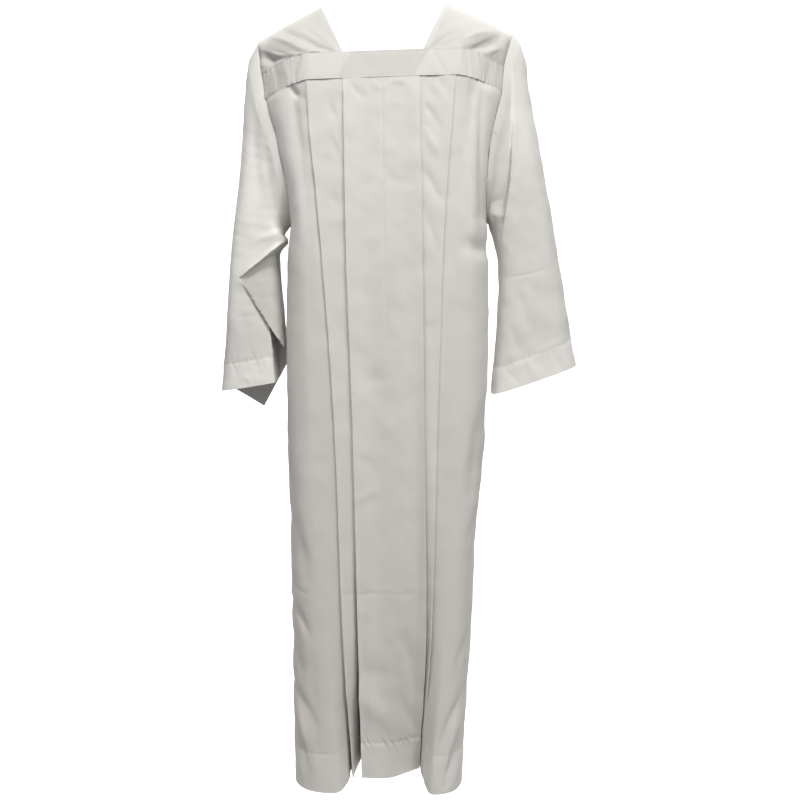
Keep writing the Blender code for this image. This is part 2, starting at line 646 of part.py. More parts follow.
clear_scene()
panel("front_panel", "front")
panel("back_panel", "back")
band("band_front", "front")
band("band_back", "back")
yoke("yoke_left", "left")
yoke("yoke_right", "right")
sleeve("sleeve_left", "left")
sleeve("sleeve_right", "right")
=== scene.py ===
# %% [markdown]
# # A pleated white alb, sewn from cut cloth
# An alb is a long white robe worn in church. This one has a square neck between two shoulder
# yokes, a straight band across the chest and the back, a body pleated into the band, wide set-in
# sleeves, and deep hems. It hangs filled out, as if worn, with nothing inside.
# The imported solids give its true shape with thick, faceted walls. Here each piece of cloth is
# drawn again from the same sizes, finely and thin, with its creases, puckers and stitches.

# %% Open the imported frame
import json
import math

import bpy
import numpy as np
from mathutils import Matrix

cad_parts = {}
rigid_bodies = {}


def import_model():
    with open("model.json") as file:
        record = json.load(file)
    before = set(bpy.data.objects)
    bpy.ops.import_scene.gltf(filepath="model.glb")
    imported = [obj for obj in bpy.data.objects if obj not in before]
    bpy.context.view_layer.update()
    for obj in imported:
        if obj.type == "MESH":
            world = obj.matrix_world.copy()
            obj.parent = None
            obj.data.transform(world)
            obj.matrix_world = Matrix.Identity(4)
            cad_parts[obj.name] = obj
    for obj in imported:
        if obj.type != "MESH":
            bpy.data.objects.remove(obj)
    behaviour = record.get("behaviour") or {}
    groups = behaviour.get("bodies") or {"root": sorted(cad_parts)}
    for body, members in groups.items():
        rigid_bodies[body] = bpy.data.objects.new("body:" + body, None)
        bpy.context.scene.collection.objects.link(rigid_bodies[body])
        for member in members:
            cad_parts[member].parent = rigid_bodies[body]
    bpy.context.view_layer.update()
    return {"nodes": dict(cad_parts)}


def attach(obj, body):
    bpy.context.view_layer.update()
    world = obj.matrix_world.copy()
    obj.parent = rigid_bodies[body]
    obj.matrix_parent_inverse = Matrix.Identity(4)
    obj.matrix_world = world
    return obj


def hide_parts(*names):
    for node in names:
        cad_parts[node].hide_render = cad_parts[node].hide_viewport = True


for thing in list(bpy.data.objects):
    bpy.data.objects.remove(thing, do_unlink=True)
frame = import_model()
print("solids:", sorted(frame["nodes"]))


def placed(name, data):
    """A new object with this data, in the scene."""
    thing = bpy.data.objects.new(name, data)
    bpy.context.scene.collection.objects.link(thing)
    return thing


# %% [markdown]
# ## The view
# The robe is seen straight from the front. The camera stands about two metres away and a little
# below the chest, tipped slightly down, so the hem is seen from above and the neck from below.

# %% Camera
VIEW_PLACE = (0.029, -2.1, -0.4284)
VIEW_TIP = math.radians(7.4314)         # how far the camera looks down
VIEW_LENS = 51.75                       # mm, on a 36 mm sensor

view_data = bpy.data.cameras.new("view")
view_data.lens = VIEW_LENS
view_data.sensor_width = 36.0
view = placed("view", view_data)
view.location = VIEW_PLACE
view.rotation_euler = (math.pi / 2.0 - VIEW_TIP, 0.0, 0.0)
bpy.context.scene.camera = view
print("camera at", VIEW_PLACE)

# %% [markdown]
# ## The cut
# A tailor works from a few sizes: where the armhole runs, how deep the band is, how far each
# pleat is folded over the next. The tables hold them in millimetres, X across the robe, depth
# from front to back and Z up from the shoulders. They are the sizes of the solids, so the cloth
# lies just where the solids are.

# %% Sizes of the robe
MM = 0.001
SIGN = {"left": -1.0, "right": 1.0, "front": -1.0, "back": 1.0}     # which way X or Y runs there
CLOTH = 0.35                            # drawn thickness of the cloth
LEAN = 0.032                            # rise of the shoulders from one side to the other
LEAN_FROM, LEAN_TO = -160.0, -760.0     # the lean is whole above the first height, gone below

NECK_HALF = 110.0                       # from the middle to the neck end of a shoulder ridge
NECK_CORNER = {"front": 68.0, "back": 96.0}
RIDGE_SOFT = 0.16                       # how round the ridge is, as a share of the yoke's slope
BAND_TOP_HALF = 211.0                   # half of the band's upper edge
BAND_LOW_HALF = 205.5
BAND_END_FROM = 0.60                    # share of that half where the ends start to drop and turn
LAYER_TOP = 0.5                         # the band's seam presses the layers together
LAYER = 2.4                             # between pleat layers below it
FOLD_RADIUS = 0.7                       # pressed pleats are sharp
EDGE_LIFT = {"outer": 1.7, "centre": 4.4}     # how far pleat edges stand off, lower down
LIFT_REACH = 26.0                       # the edges are pressed flat this near the band
HEM_SIDE_DROP = 4.0                     # the hem hangs lower at the side seams
HEM_DEEP = 72.0                         # from the hem's edge up to its stitches
CUFF_DEEP = 48.0
NECK_HEM = 9.0
EDGE_STITCH = 2.4                       # from a band's edge to its stitches
SEAM_SINK, SEAM_WIDE = 0.9, 1.6         # a seam sinks into the cloth so deep and so wide

ARMHOLE = np.array([
    # x_left, x_right, reach, z : from the shoulder tip down to the armpit
    (222, 228, 0, -56),
    (220, 224.5, 19, -67),
    (212, 210.5, 38, -119),
    (205, 206.5, 50, -161),
    (197, 199, 60, -190),
    (186, 189.5, 68, -228),
    (179, 184, 71, -264),
    (171.5, 181, 68, -300),
    (167, 180.5, 56, -335),
    (165.5, 182, 34, -364),
    (165, 183, 0, -384),
])
ARMPIT_Z = ARMHOLE[-1][3]

BANDS = {
    "front": dict(top_z=-93.0, low_z=-138.5, top_depth=95.0, low_depth=107.0,
                  top_end=38.0, low_end=50.0, top_drop=26.0, low_drop=22.5),
    "back": dict(top_z=-66.0, low_z=-112.0, top_depth=88.0, low_depth=99.0,
                 top_end=32.0, low_end=44.0, top_drop=30.0, low_drop=27.0),
}

WIDTHS = np.array([
    # z, seam_left, wide_left, wide_right, seam_right
    (-384, 165, 166, 184, 183),
    (-440, 168, 173, 188, 184.5),
    (-600, 170, 177, 190, 185),
    (-750, 170, 177, 187, 182),
    (-930, 168, 174.5, 169.5, 165),
    (-1100, 166, 173, 164.5, 159),
    (-1280, 163, 172.5, 154, 147),
    (-1412, 158, 171, 148, 138),
])
SQUARE_Z = [-161.0, -264.0, -384.0, -600.0]
SQUARE = [1.9, 2.3, 2.55, 2.6]           # how boxy the body's plan is at those heights
print("armhole rows:", len(ARMHOLE), "width rows:", len(WIDTHS))

# %% [markdown]
# ## The pleats
# Each panel is one wide cloth, folded over itself under the band. A row of the table is one fold
# or one soft turn of that cloth, met in order from one side seam to the other. A fold doubles the
# cloth back, and the layer says how many cloths lie over it. The columns follow the fold down
# from the band to the hem, where the pleats open.

# %% Table of folds
LEVELS = {
    "front": [("chest", -420.0, 113.0), ("hip", -750.0, 113.0),
              ("knee", -1100, 109), ("hem", -1412, 81)],
    "back": [("chest", -420.0, 106.0), ("hip", -750.0, 112.0),
             ("knee", -1100, 116), ("hem", -1408, 112)],
}
FOLDS = {
    "front": [
        # name, kind, layer, x_top, x_chest, x_hip, x_knee, x_hem, depth_knee, depth_hem, z_hem
        ("side_face_l", "turn", 4, -158, -128, -116, -104, -88, 107, 110, -1412),
        ("side_wall_l", "turn", 4, -144, -116, -102, -88, -69, 104, 82, -1408),
        ("inner_l", "fold", 3.5, -106, -84, -66, -62, -63, 94, 36, -1402),
        ("outer_edge_l", "fold", 2.5, -132, -107, -86, -74.5, -57.5, 107.5, 72, -1400),
        ("strip_l", "turn", 2, -84, -76, -62, -56, -52.5, 104, 34, -1400),
        ("under_centre_l", "fold", 1.5, -37, -34, -28, -46.5, -46, 74, -8, -1400),
        ("centre_edge_l", "fold", 0.5, -67.5, -64, -54, -47, -41, 106, 75, -1398),
        ("centre_l", "turn", 0, -36, -34, -26, -22, -22, 110, 82, -1397),
        ("crease", "turn", 0, -1, 1, 8, 10, 9, 109, 80, -1397),
        ("centre_r", "turn", 0, 34, 38, 42, 46, 40, 107, 60, -1397),
        ("centre_edge_r", "fold", 0.5, 62.5, 67.5, 72, 76, 65, 104.5, 36, -1397),
        ("under_centre_r", "fold", 1.5, 33, 37, 44, 54, 54, 90, 4, -1399),
        ("strip_r", "turn", 2, 78, 76, 76, 70, 66, 94.5, 27, -1400),
        ("outer_edge_r", "fold", 2.5, 123, 104, 95, 86, 68.5, 104.5, 50, -1402),
        ("inner_r", "fold", 3.5, 97, 82, 76, 76, 70.5, 88, 61, -1404),
        ("side_wall_r", "turn", 4, 144, 114, 107, 98, 75.5, 101.5, 90, -1408),
        ("side_face_r", "turn", 4, 158, 130, 121, 112, 88, 104.5, 116, -1412),
    ],
    "back": [
        ("side_face_l", "turn", 4, -158, -130, -122, -118, -112, 115, 126, -1408),
        ("side_wall_l", "turn", 4, -144, -116, -108, -100, -90, 104, 106, -1406),
        ("inner_l", "fold", 3.5, -100, -82, -74, -72, -74, 100, 74, -1403),
        ("outer_edge_l", "fold", 2.5, -126, -108, -98, -88, -76, 109, 112, -1403),
        ("strip_l", "turn", 2, -84, -76, -70, -62, -60, 108, 98, -1403),
        ("under_centre_l", "fold", 1.5, -34, -33, -32, -40, -50, 98, 62, -1402),
        ("centre_edge_l", "fold", 0.5, -64, -62, -58, -52, -44, 112, 108, -1402),
        ("centre_l", "turn", 0, -34, -33, -30, -26, -24, 117, 114, -1402),
        ("crease", "turn", 0, 0, 1, 2, 2, 2, 116, 110, -1402),
        ("centre_r", "turn", 0, 34, 35, 34, 30, 26, 117, 114, -1402),
        ("centre_edge_r", "fold", 0.5, 64, 64, 62, 56, 46, 112, 108, -1402),
        ("under_centre_r", "fold", 1.5, 34, 35, 36, 44, 52, 98, 64, -1402),
        ("strip_r", "turn", 2, 84, 78, 74, 66, 61, 108, 98, -1403),
        ("outer_edge_r", "fold", 2.5, 126, 110, 102, 90, 76, 109, 112, -1403),
        ("inner_r", "fold", 3.5, 100, 84, 78, 74, 74, 100, 76, -1403),
        ("side_wall_r", "turn", 4, 144, 117, 110, 101, 88, 104, 105, -1406),
        ("side_face_r", "turn", 4, 158, 131, 123, 114, 102, 114, 124, -1408),
    ],
}
print("pleat folds:", sum(row[1] == "fold" for rows in FOLDS.values() for row in rows))

# %% [markdown]
# ## The sleeves
# A row is one section of a sleeve: its outer and inner line, its reach to the front and the back,
# and how far the front and the back hang below the line between the two. The left sleeve is
# tucked up at the elbow, which its sections there give.

# %% Table of sleeve sections
SLEEVES = {
    "left": [
        # x_out, z_out, x_in, z_in, front, back, hang_front, hang_back
        (-240, -90, -171, -385.5, 68, 66, 0, 0),
        (-247, -150, -174, -391, 63, 62, 0, 0),
        (-251.5, -215, -178, -396, 60, 58, 0, 0),
        (-257, -290, -180, -401, 58, 56, 0, 0),
        (-267, -375, -176, -404, 58, 55, 0, 0),
        (-275, -452, -175, -412, 58, 55, 2, 0),
        (-278, -486, -191, -434, 57, 55, 0, 2),
        (-283, -550, -188, -490, 56, 56, 3, 12),
        (-288, -612, -182, -560, 56, 58, 11, 31),
        (-291, -650, -179, -604, 57, 60, 19, 52),
        (-295, -679, -179, -630, 58, 60, 26, 70),
    ],
    "right": [
        (242, -74, 189, -386, 68, 66, 0, 0),
        (252, -106, 191, -396, 62, 62, 0, 0),
        (258, -150, 195, -406, 59, 58, 0, 0),
        (269, -210, 199, -418, 56, 54, 0, 0),
        (284, -290, 204, -436, 53, 52, 0, 0),
        (300, -370, 208, -460, 51, 50, 0, 0),
        (314, -446, 209, -500, 50, 50, 0, 0),
        (326, -512, 207, -550, 50, 50, 0, 0),
        (336, -568, 204, -600, 50, 50, 0, 2),
        (343, -606, 200, -646, 50, 50, 0, 4),
        (349.5, -638, 197, -690, 50, 50, 0, 8),
    ],
}
print("sleeve sections:", {side: len(rows) for side, rows in SLEEVES.items()})

# %% [markdown]
# ## Curves from tables
# Cloth bends without corners, so a smooth curve joins the rows of each table. It is a cubic that
# never swings past its own rows, as a wilder spline would. The armhole and the band's edges are
# the two lines that several pieces share, so they are worked out once, for all of them.

# %% Curve through a table
def cubic(t, start, leave, end, arrive):
    """Curve from start to end for t from 0 to 1, with the slopes it leaves and arrives with."""
    return ((2 * t ** 3 - 3 * t ** 2 + 1) * start + (t ** 3 - 2 * t ** 2 + t) * leave
            + (3 * t ** 2 - 2 * t ** 3) * end + (t ** 3 - t ** 2) * arrive)


def glide(knots, values, at):
    """Smooth curve through a table that never swings past its own values."""
    knots = np.asarray(knots, float)
    values = np.asarray(values, float)
    at = np.atleast_1d(np.asarray(at, float))
    if knots[-1] < knots[0]:
        knots, at = -knots, -at
    shape = values.shape[1:]
    values = values.reshape(len(knots), -1)
    step = np.diff(knots)
    rise = np.diff(values, axis=0) / step[:, None]
    slope = np.vstack([rise[:1], np.zeros((len(knots) - 2, values.shape[1])), rise[-1:]])
    before, after = rise[:-1], rise[1:]
    both = np.where(before + after == 0.0, 1.0, before + after)
    slope[1:-1] = np.where(before * after > 0.0, 2.0 * before * after / both, 0.0)
    at = np.clip(at, knots[0], knots[-1])
    i = np.clip(np.searchsorted(knots, at) - 1, 0, len(step) - 1)
    h = step[i][:, None]
    t = (at - knots[i])[:, None] / h
    curve = cubic(t, values[i], h * slope[i], values[i + 1], h * slope[i + 1])
    return curve.reshape((len(at),) + shape)


def smooth(x, low, high):
    """Soft step from 0 at low to 1 at high."""
    t = np.clip((np.asarray(x, float) - low) / (high - low), 0.0, 1.0)
    return t * t * (3.0 - 2.0 * t)


print("half way through a table:", glide([0, 1, 2], [0.0, 1.0, 4.0], 0.5).round(3))

# %% Lines that pieces share
def armhole(side, face, t):
    """Points of the armhole, t counting the table's rows from the shoulder tip."""
    x_left, x_right, reach, z = glide(range(len(ARMHOLE)), ARMHOLE, t).T
    x = x_left if side == "left" else x_right
    return np.stack([SIGN[side] * x, SIGN[face] * reach, z], 1)


ROW_T = np.linspace(0.0, len(ARMHOLE) - 1.0, 1201)
ROW_Z = armhole("left", "front", ROW_T)[:, 2]


def armhole_at(z):
    """Row counts at which the armhole passes heights."""
    return np.interp(-np.atleast_1d(z), -ROW_Z, ROW_T)


def band_edge(face, edge, s):
    """Points of the band's upper or lower edge, s from -1 at one armhole to 1 at the other."""
    s = np.atleast_1d(np.asarray(s, float))
    b = BANDS[face]
    half = BAND_TOP_HALF if edge == "top" else BAND_LOW_HALF
    past = np.maximum(0.0, (np.abs(s) - BAND_END_FROM) / (1.0 - BAND_END_FROM))
    depth = b[edge + "_depth"] + (b[edge + "_end"] - b[edge + "_depth"]) * past ** 1.55
    z = b[edge + "_z"] - b[edge + "_drop"] * past ** 1.5
    point = np.stack([half * s, SIGN[face] * depth, z], 1)
    end_z = b[edge + "_z"] - b[edge + "_drop"]
    for side, here in (("left", s < 0.0), ("right", s >= 0.0)):
        end = armhole(side, face, armhole_at(end_z))[0]
        flat = np.array([SIGN[side] * half, SIGN[face] * b[edge + "_end"], end_z])
        point[here] += (end - flat) * np.abs(s[here])[:, None] ** 8
    return point


def leaned(points):
    """Lift one shoulder a little over the other."""
    p = np.array(points, float)
    share = np.clip((p[..., 2] - LEAN_TO) / (LEAN_FROM - LEAN_TO), 0.0, 1.0)
    p[..., 2] += LEAN * p[..., 0] * share
    return p


def lengths(points, axis):
    """Length along a grid of points, from its first row or column."""
    step = np.linalg.norm(np.diff(points, axis=axis), axis=2)
    pad = [(0, 0), (0, 0)]
    pad[axis] = (1, 0)
    return np.cumsum(np.pad(step, pad), axis=axis)


half_round = lengths(armhole("left", "front", ROW_T)[:, None], 0)[-1, 0]
print("armhole, mm round:", round(2.0 * float(half_round)))

# %% [markdown]
# ## Creases, puckers and unevenness
# Real cloth is never even. A crease is a soft trough or ridge along a line, with a bow and soft
# ends, so a table row gives its two ends, its width, its bow and its height. A seam draws the
# cloth in, which leaves small uneven ripples beside it: puckers. All of them are heights, which
# are added to the cloth later in the direction that it faces.

# %% Heights of creases and puckers
def creases(marks, x, z):
    """Height of a table of creases at points of the front view, in millimetres."""
    height = np.zeros_like(x)
    for x0, z0, x1, z1, width, bow, rise in marks:
        dx, dz = x1 - x0, z1 - z0
        length = math.hypot(dx, dz)
        along = ((x - x0) * dx + (z - z0) * dz) / length ** 2
        inside = np.clip(along, 0.0, 1.0)
        off = ((x - x0) * dz - (z - z0) * dx) / length - bow * 4.0 * inside * (1.0 - inside)
        past = np.maximum(0.0, np.maximum(-along, along - 1.0)) * length
        taper = 0.55 + 0.45 * np.sin(math.pi * inside)
        height += rise * taper * np.exp(-(off / width) ** 2 - (past / (1.3 * width)) ** 2)
    return height


def ripples(along, wave, seed):
    """Uneven ripples along a seam, about 1 high, wave millimetres apart."""
    rng = np.random.default_rng(seed)
    turn = rng.uniform(0.0, 2.0 * math.pi, 5)
    k = 2.0 * math.pi / wave
    ripple = np.sin(k * along + 1.6 * np.sin(k * along / 4.7 + turn[0]) + turn[1])
    ripple += 0.45 * np.sin(k * along * 1.83 + turn[2])
    swell = 0.55 + 0.3 * np.sin(k * along / 3.3 + turn[3]) + 0.25 * np.sin(k * along / 7.9 + turn[4])
    return ripple * np.maximum(swell, 0.05)


def uneven(x, z, wave, seed):
    """Gentle unevenness of hanging cloth, about 1 high."""
    rng = np.random.default_rng(seed)
    height = np.zeros_like(x)
    for _ in range(10):
        turn, start = rng.uniform(0.0, 2.0 * math.pi, 2)
        k = 2.0 * math.pi / (wave * rng.uniform(0.7, 1.7))
        height += np.sin((x * math.cos(turn) + z * math.sin(turn)) * k + start)
    return height / 3.2


PUCKERS = {
    # seam: height of its puckers, how far they reach from it, and their wave along it
    "panel_top": (0.7, 10.0, 9.5),
    "panel_armhole": (1.0, 7.0, 11.6),
    "side_seam": (1.0, 13.0, 21.0),
    "hem": (1.0, 6.5, 10.5),
    "band_top": (0.85, 8.0, 9.0),
    "band_low": (1.05, 9.0, 8.2),
    "band_end": (0.5, 7.0, 11.0),
    "yoke_foot": (0.8, 7.0, 9.0),
    "yoke_armhole": (0.5, 7.0, 11.0),
    "sleeve_head": (0.8, 7.0, 11.5),
    "cuff": (0.9, 8.0, 10.5),
}


def puckers(seam, gap, along, seed):
    """Ripples along a seam that fade with the gap from it."""
    height, reach, wave = PUCKERS[seam]
    return height * np.exp(-gap / reach) * ripples(along, wave, seed)


def dent(gap, wide):
    """A soft trough, 1 deep where the gap is 0, as a seam or its stitches press it."""
    return np.exp(-(gap / wide) ** 2)


sample = creases([(0, 0, 0, 50, 5, 0, 2)], np.zeros(1), np.array([25.0]))
print("a crease 2 high, at its middle:", sample)

# %% [markdown]
# ## Cloth from a grid
# Every piece ends as a grid of points in the middle of the cloth. It becomes a thin closed shell:
# the points are moved half the thickness to either side, and the rims are closed. The UV map
# holds real lengths on the cloth, so threads and fibres stay the same size on every piece. One
# more value goes on each point: how much cloth lies behind it, which makes white cloth brighter
# or duller, because thin cloth lets light through. The same value carries painted light and
# shade too: parts are painted lighter or darker for the way the light falls on them, and the
# inner side is painted dull as the shaded inside.

# %% Make a shell
SHARP = math.radians(62.0)              # a bend over this is drawn as an edge


def unit(v):
    """Directions of vectors, each one long."""
    return v / np.maximum(np.linalg.norm(v, axis=-1, keepdims=True), 1e-12)


def facing(p, loop):
    """Direction that each point of a grid faces, across the cloth."""
    down = np.gradient(p, axis=0)
    if loop:
        across = (np.roll(p, -1, 1) - np.roll(p, 1, 1)) / 2.0
    else:
        across = np.gradient(p, axis=1)
    return unit(np.cross(across, down))


def shell(name, grid, loop=False, behind_and_painted_light=None):
    """A closed thin cloth around a grid of points, given in millimetres before the lean."""
    p = leaned(grid)
    rows, cols = p.shape[:2]
    across = cols if loop else cols - 1
    under = rows * cols                 # the other side's points come after the first side's
    off = facing(p, loop) * CLOTH / 2.0
    verts = np.concatenate([(p + off).reshape(-1, 3), (p - off).reshape(-1, 3)]) * MM
    wide = np.append(p, p[:, :1], 1) if loop else p
    u = lengths(wide, 1).mean(0) * MM
    v = lengths(p, 0).mean(1) * MM

    def uv_at(c, r):
        """Lengths on the cloth at columns and rows."""
        return np.stack(np.broadcast_arrays(u[c], v[r]), -1)

    r, c = np.meshgrid(np.arange(rows - 1), np.arange(across), indexing="ij")
    d = (c + 1) % cols
    quads = np.stack([r * cols + c, r * cols + d, (r + 1) * cols + d, (r + 1) * cols + c], -1)
    uv = np.stack([uv_at(c, r), uv_at(c + 1, r), uv_at(c + 1, r + 1), uv_at(c, r + 1)], -2)
    quads, uv = quads.reshape(-1, 4), uv.reshape(-1, 4, 2)
    turned = [0, 3, 2, 1]               # the other side's quads are split along the same diagonal
    faces, uvs = [quads, quads[:, turned] + under], [uv, uv[:, turned]]

    def close_rim(a, b, uv_a, uv_b, flip):
        """Quads between the two sides, from points a to their neighbours b."""
        quad = np.stack([a + under, b + under, b, a], -1)
        quad_uv = np.stack([uv_a, uv_b, uv_b, uv_a], -2)
        faces.append(quad[:, ::-1] if flip else quad)
        uvs.append(quad_uv[:, ::-1] if flip else quad_uv)

    c, r = np.arange(across), np.arange(rows - 1)
    for row, flip in ((0, False), (rows - 1, True)):
        close_rim(row * cols + c, row * cols + (c + 1) % cols, uv_at(c, row), uv_at(c + 1, row), flip)
    if not loop:
        for col, flip in ((0, True), (cols - 1, False)):
            close_rim(r * cols + col, (r + 1) * cols + col, uv_at(col, r), uv_at(col, r + 1), flip)
    faces = np.concatenate(faces)
    mesh = bpy.data.meshes.new(name)
    mesh.from_pydata(verts.tolist(), [], faces.tolist())
    layer = mesh.uv_layers.new(name="cloth")
    layer.uv.foreach_set("vector", np.concatenate(uvs).reshape(-1).astype(np.float32))
    # the values hold the cloth behind each point together with painted light and shade
    behind = np.ones((rows, cols)) if behind_and_painted_light is None else behind_and_painted_light
    # the inner side gets the dullest colour: painted shade for the dark inside of the robe and
    # sleeves
    inside_shade = np.zeros((rows, cols))     # the inner side has only the dark hollow behind it
    heart = p.mean((0, 1)) if loop else np.array([0.0, 0.0, p[..., 2].mean() - 100.0])
    sides = [behind, inside_shade] if np.sum(off * (p - heart)) > 0.0 else [inside_shade, behind]
    mark = mesh.attributes.new("behind_and_painted_light", "FLOAT", "POINT")
    mark.data.foreach_set("value", np.concatenate(sides).reshape(-1).astype(np.float32))
    mesh.shade_smooth()
    mesh.set_sharp_from_angle(angle=SHARP)
    print(name, rows, "x", cols, "points,", 2 * len(faces), "triangles")
    return placed(name, mesh)


# %% [markdown]
# ## The body panels
# Where a panel's cloth turns round a side, its plan is a quarter of a boxy oval from the side
# seam to its first pleat. Between the pleats it runs straight, and at each fold it goes round a
# tight arc. The pleats are pressed, so they stay sharp to the hem. The rows are closer together
# near the band and the hem's stitches, where the small puckers are.

# %% Plan of a panel's sides
def side_points(face, side, z, share, flat):
    """Plan of a panel's side at heights z: share 0 at the armhole or side seam, 1 at its flat."""
    columns = (1, 2) if side == "left" else (4, 3)
    seam = glide(WIDTHS[:, 0], WIDTHS[:, columns[0]], z)
    wide = glide(WIDTHS[:, 0], WIDTHS[:, columns[1]], z)
    flat_x, flat_depth = SIGN[side] * flat[:, 0], flat[:, 1]
    power = 2.0 / glide(SQUARE_Z, SQUARE, z)
    above = z > ARMPIT_Z
    cut = np.abs(armhole(side, face, armhole_at(z)))
    turned = np.arcsin(np.minimum(1.0, (cut[:, 1] / flat_depth) ** (1.0 / power)))
    first = np.where(above, turned, 0.0)
    whole = flat_x + (cut[:, 0] - flat_x) / np.maximum(np.cos(first), 0.05) ** power
    wide = np.where(above, whole, wide)
    seam = np.where(above, wide, seam)
    angle = first + (math.pi / 2.0 - first) * share
    depth = flat_depth * np.sin(angle) ** power
    x = flat_x + (wide - flat_x) * np.maximum(0.0, np.cos(angle)) ** power
    # the side seam lies a little inside the widest line, and the cloth beside it turns in to it
    x += (seam - wide) * np.maximum(0.0, 1.0 - depth / (0.55 * flat_depth)) ** 2
    return SIGN[side] * x, depth


def doubled(before, tip, after, radius):
    """The three points of a fold that turns the cloth back on itself."""
    out = tip - 0.5 * (before + after)
    out = out / max(np.linalg.norm(out), 1e-9)
    side = np.array([-out[1], out[0]])
    if np.dot(side, before - after) < 0:
        side = -side
    return [tip - out * radius + side * radius, tip, tip - out * radius - side * radius]


# %% Where each fold runs
def level_points(face, level):
    """Plan points of a panel at one of its levels, from one side seam to the other."""
    folds = FOLDS[face]
    radius = LAYER_TOP / 2.0 if level == "top" else FOLD_RADIUS
    if level == "top":
        x = np.array([row[3] for row in folds])
        depth = np.abs(band_edge(face, "low", x / BAND_LOW_HALF)[:, 1])
        points = [np.array([row[3], d - LAYER_TOP * row[2]]) for row, d in zip(folds, depth)]
    else:
        centre = {row[0]: row[2] for row in LEVELS[face]}[level]
        column = {"chest": 4, "hip": 5, "knee": 6, "hem": 7}[level]
        depth = {"knee": 8, "hem": 9}.get(level)
        points = [np.array([row[column], row[depth] if depth else centre - LAYER * row[2]])
                  for row in folds]
    out = []
    for i, row in enumerate(folds):
        if row[1] == "fold":
            out += doubled(points[i - 1], points[i], points[i + 1], radius)
        else:
            out.append(points[i])
    return out


def key_columns(face):
    """For every key point of a panel: heights and plan points from the band to the hem."""
    tables = [level_points(face, name) for name in ("top", "chest", "hip", "knee", "hem")]
    hem_z = []
    for row in FOLDS[face]:
        hem_z += [row[10]] * (3 if row[1] == "fold" else 1)
    columns = []
    for k, hem in enumerate(hem_z):
        plan = np.array([table[k] for table in tables])
        top = band_edge(face, "low", plan[0, 0] / BAND_LOW_HALF)[0, 2]
        columns.append((np.array([top] + [row[1] for row in LEVELS[face][:-1]] + [hem]), plan))
    return columns


print("key points in a panel:", len(key_columns("front")))

# %% Fill in between the key points
SHOWN_STEP, HIDDEN_STEP = 2.6, 14.0     # mm between columns, on cloth that shows or is tucked in
HIDDEN = (("side_wall", "inner"), ("inner", "outer_edge"), ("under_centre", "centre_edge"))


def hidden_between(a, b):
    """Whether the cloth between two folds is tucked out of sight."""
    ends = {a[:-2], b[:-2]}
    return any(ends == set(pair) for pair in HIDDEN)


def key_names(face):
    """Name of the fold and part of it, for every key point of a panel."""
    parts = {"fold": ("before", "tip", "after"), "turn": ("turn",)}
    return [(row[0], part) for row in FOLDS[face] for part in parts[row[1]]]


def filled_in(keys, names, first_way, last_way):
    """Smooth cloth through key points (rows x keys x 3): straight between folds, round at them."""
    ahead = keys[:, 1:] - keys[:, :-1]
    ahead[..., 2:] = 0.0
    long = np.linalg.norm(ahead, axis=2, keepdims=True)
    way = np.zeros_like(keys)
    for k, (_, part) in enumerate(names):
        if part == "before":
            middle = 0.5 * (keys[:, k] + keys[:, k + 2])
            out = unit(keys[:, k + 1] - middle)
            come, go = unit(ahead[:, k - 1]), unit(ahead[:, k + 2])
            shut = np.clip(0.5 - np.sum(come * go, -1, keepdims=True), 0.0, 1.0)
            way[:, k] = shut * out + (1.0 - shut) * come
            way[:, k + 1] = shut * unit(keys[:, k + 2] - keys[:, k]) + (1.0 - shut) * unit(come + go)
            way[:, k + 2] = (1.0 - shut) * go - shut * out
        elif part == "turn":
            back = ahead[:, k - 1] if k else first_way
            front = ahead[:, k] if k < len(names) - 1 else last_way
            back_long = np.linalg.norm(back, axis=1, keepdims=True)
            front_long = np.linalg.norm(front, axis=1, keepdims=True)
            way[:, k] = unit(unit(back) * front_long + unit(front) * back_long)
    way[..., 2:] = 0.0
    out = [keys[:, :1]]
    for k in range(len(names) - 1):
        a, b = names[k], names[k + 1]
        if a[0] == b[0]:
            count = 2
        else:
            step = HIDDEN_STEP if hidden_between(a[0], b[0]) else SHOWN_STEP
            count = max(2, int(math.ceil(np.percentile(long[:, k], 70) / step)))
        t = (np.arange(1, count + 1) / count)[None, :, None]
        h = long[:, k][:, None]
        pull = 1.35 if a[0] == b[0] else 1.0
        start, end = keys[:, k][:, None], keys[:, k + 1][:, None]
        leave, arrive = way[:, k][:, None] * h * pull, way[:, k + 1][:, None] * h * pull
        curve = cubic(t, start, leave, end, arrive)
        curve[..., 2:] = start[..., 2:] + (end - start)[..., 2:] * t
        out.append(curve)
    return np.concatenate(out, 1)


# %% Rows of a panel
UPPER_ROWS, SIDE_COLUMNS = 48, 26
ROW_FINE, ROW_HEM, ROW_BODY = 3.0, 4.6, 7.6     # mm between rows below the armpit
PACK_Z = -1038.0                        # the robe was folded level here when it was packed


def lower_shares(length):
    """Shares of the way from the armpit to the hem, closer near the hem's stitches."""
    places = [0.0]
    while places[-1] < length:
        past_line = places[-1] - (length - HEM_DEEP)
        past_fold = places[-1] - (ARMPIT_Z - PACK_Z)
        fine = abs(past_line) < 16.0 or abs(past_fold) < 12.0
        places.append(places[-1] + (ROW_FINE if fine else ROW_HEM if past_line > 0.0 else ROW_BODY))
    return np.array(places) / places[-1]


def seam_rows(face):
    """Row counts of the armhole from the band's end to the armpit, for a panel's upper rows."""
    b = BANDS[face]
    return np.linspace(armhole_at(b["low_z"] - b["low_drop"])[0], len(ARMHOLE) - 1.0, UPPER_ROWS + 1)


def row_heights(face, top, end):
    """Heights of a column's points, in step with the armhole's rows and then with the hem."""
    seam_z = armhole("left", face, seam_rows(face))[:, 2]
    upper = (seam_z[0] - seam_z) / (seam_z[0] - seam_z[-1])
    lower = lower_shares(ARMPIT_Z - LEVELS[face][-1][1])[1:]
    return np.concatenate([top + (ARMPIT_Z - top) * upper, ARMPIT_Z + (end - ARMPIT_Z) * lower])


print("rows in a panel:", len(row_heights("front", -138.5, -1412.0)))

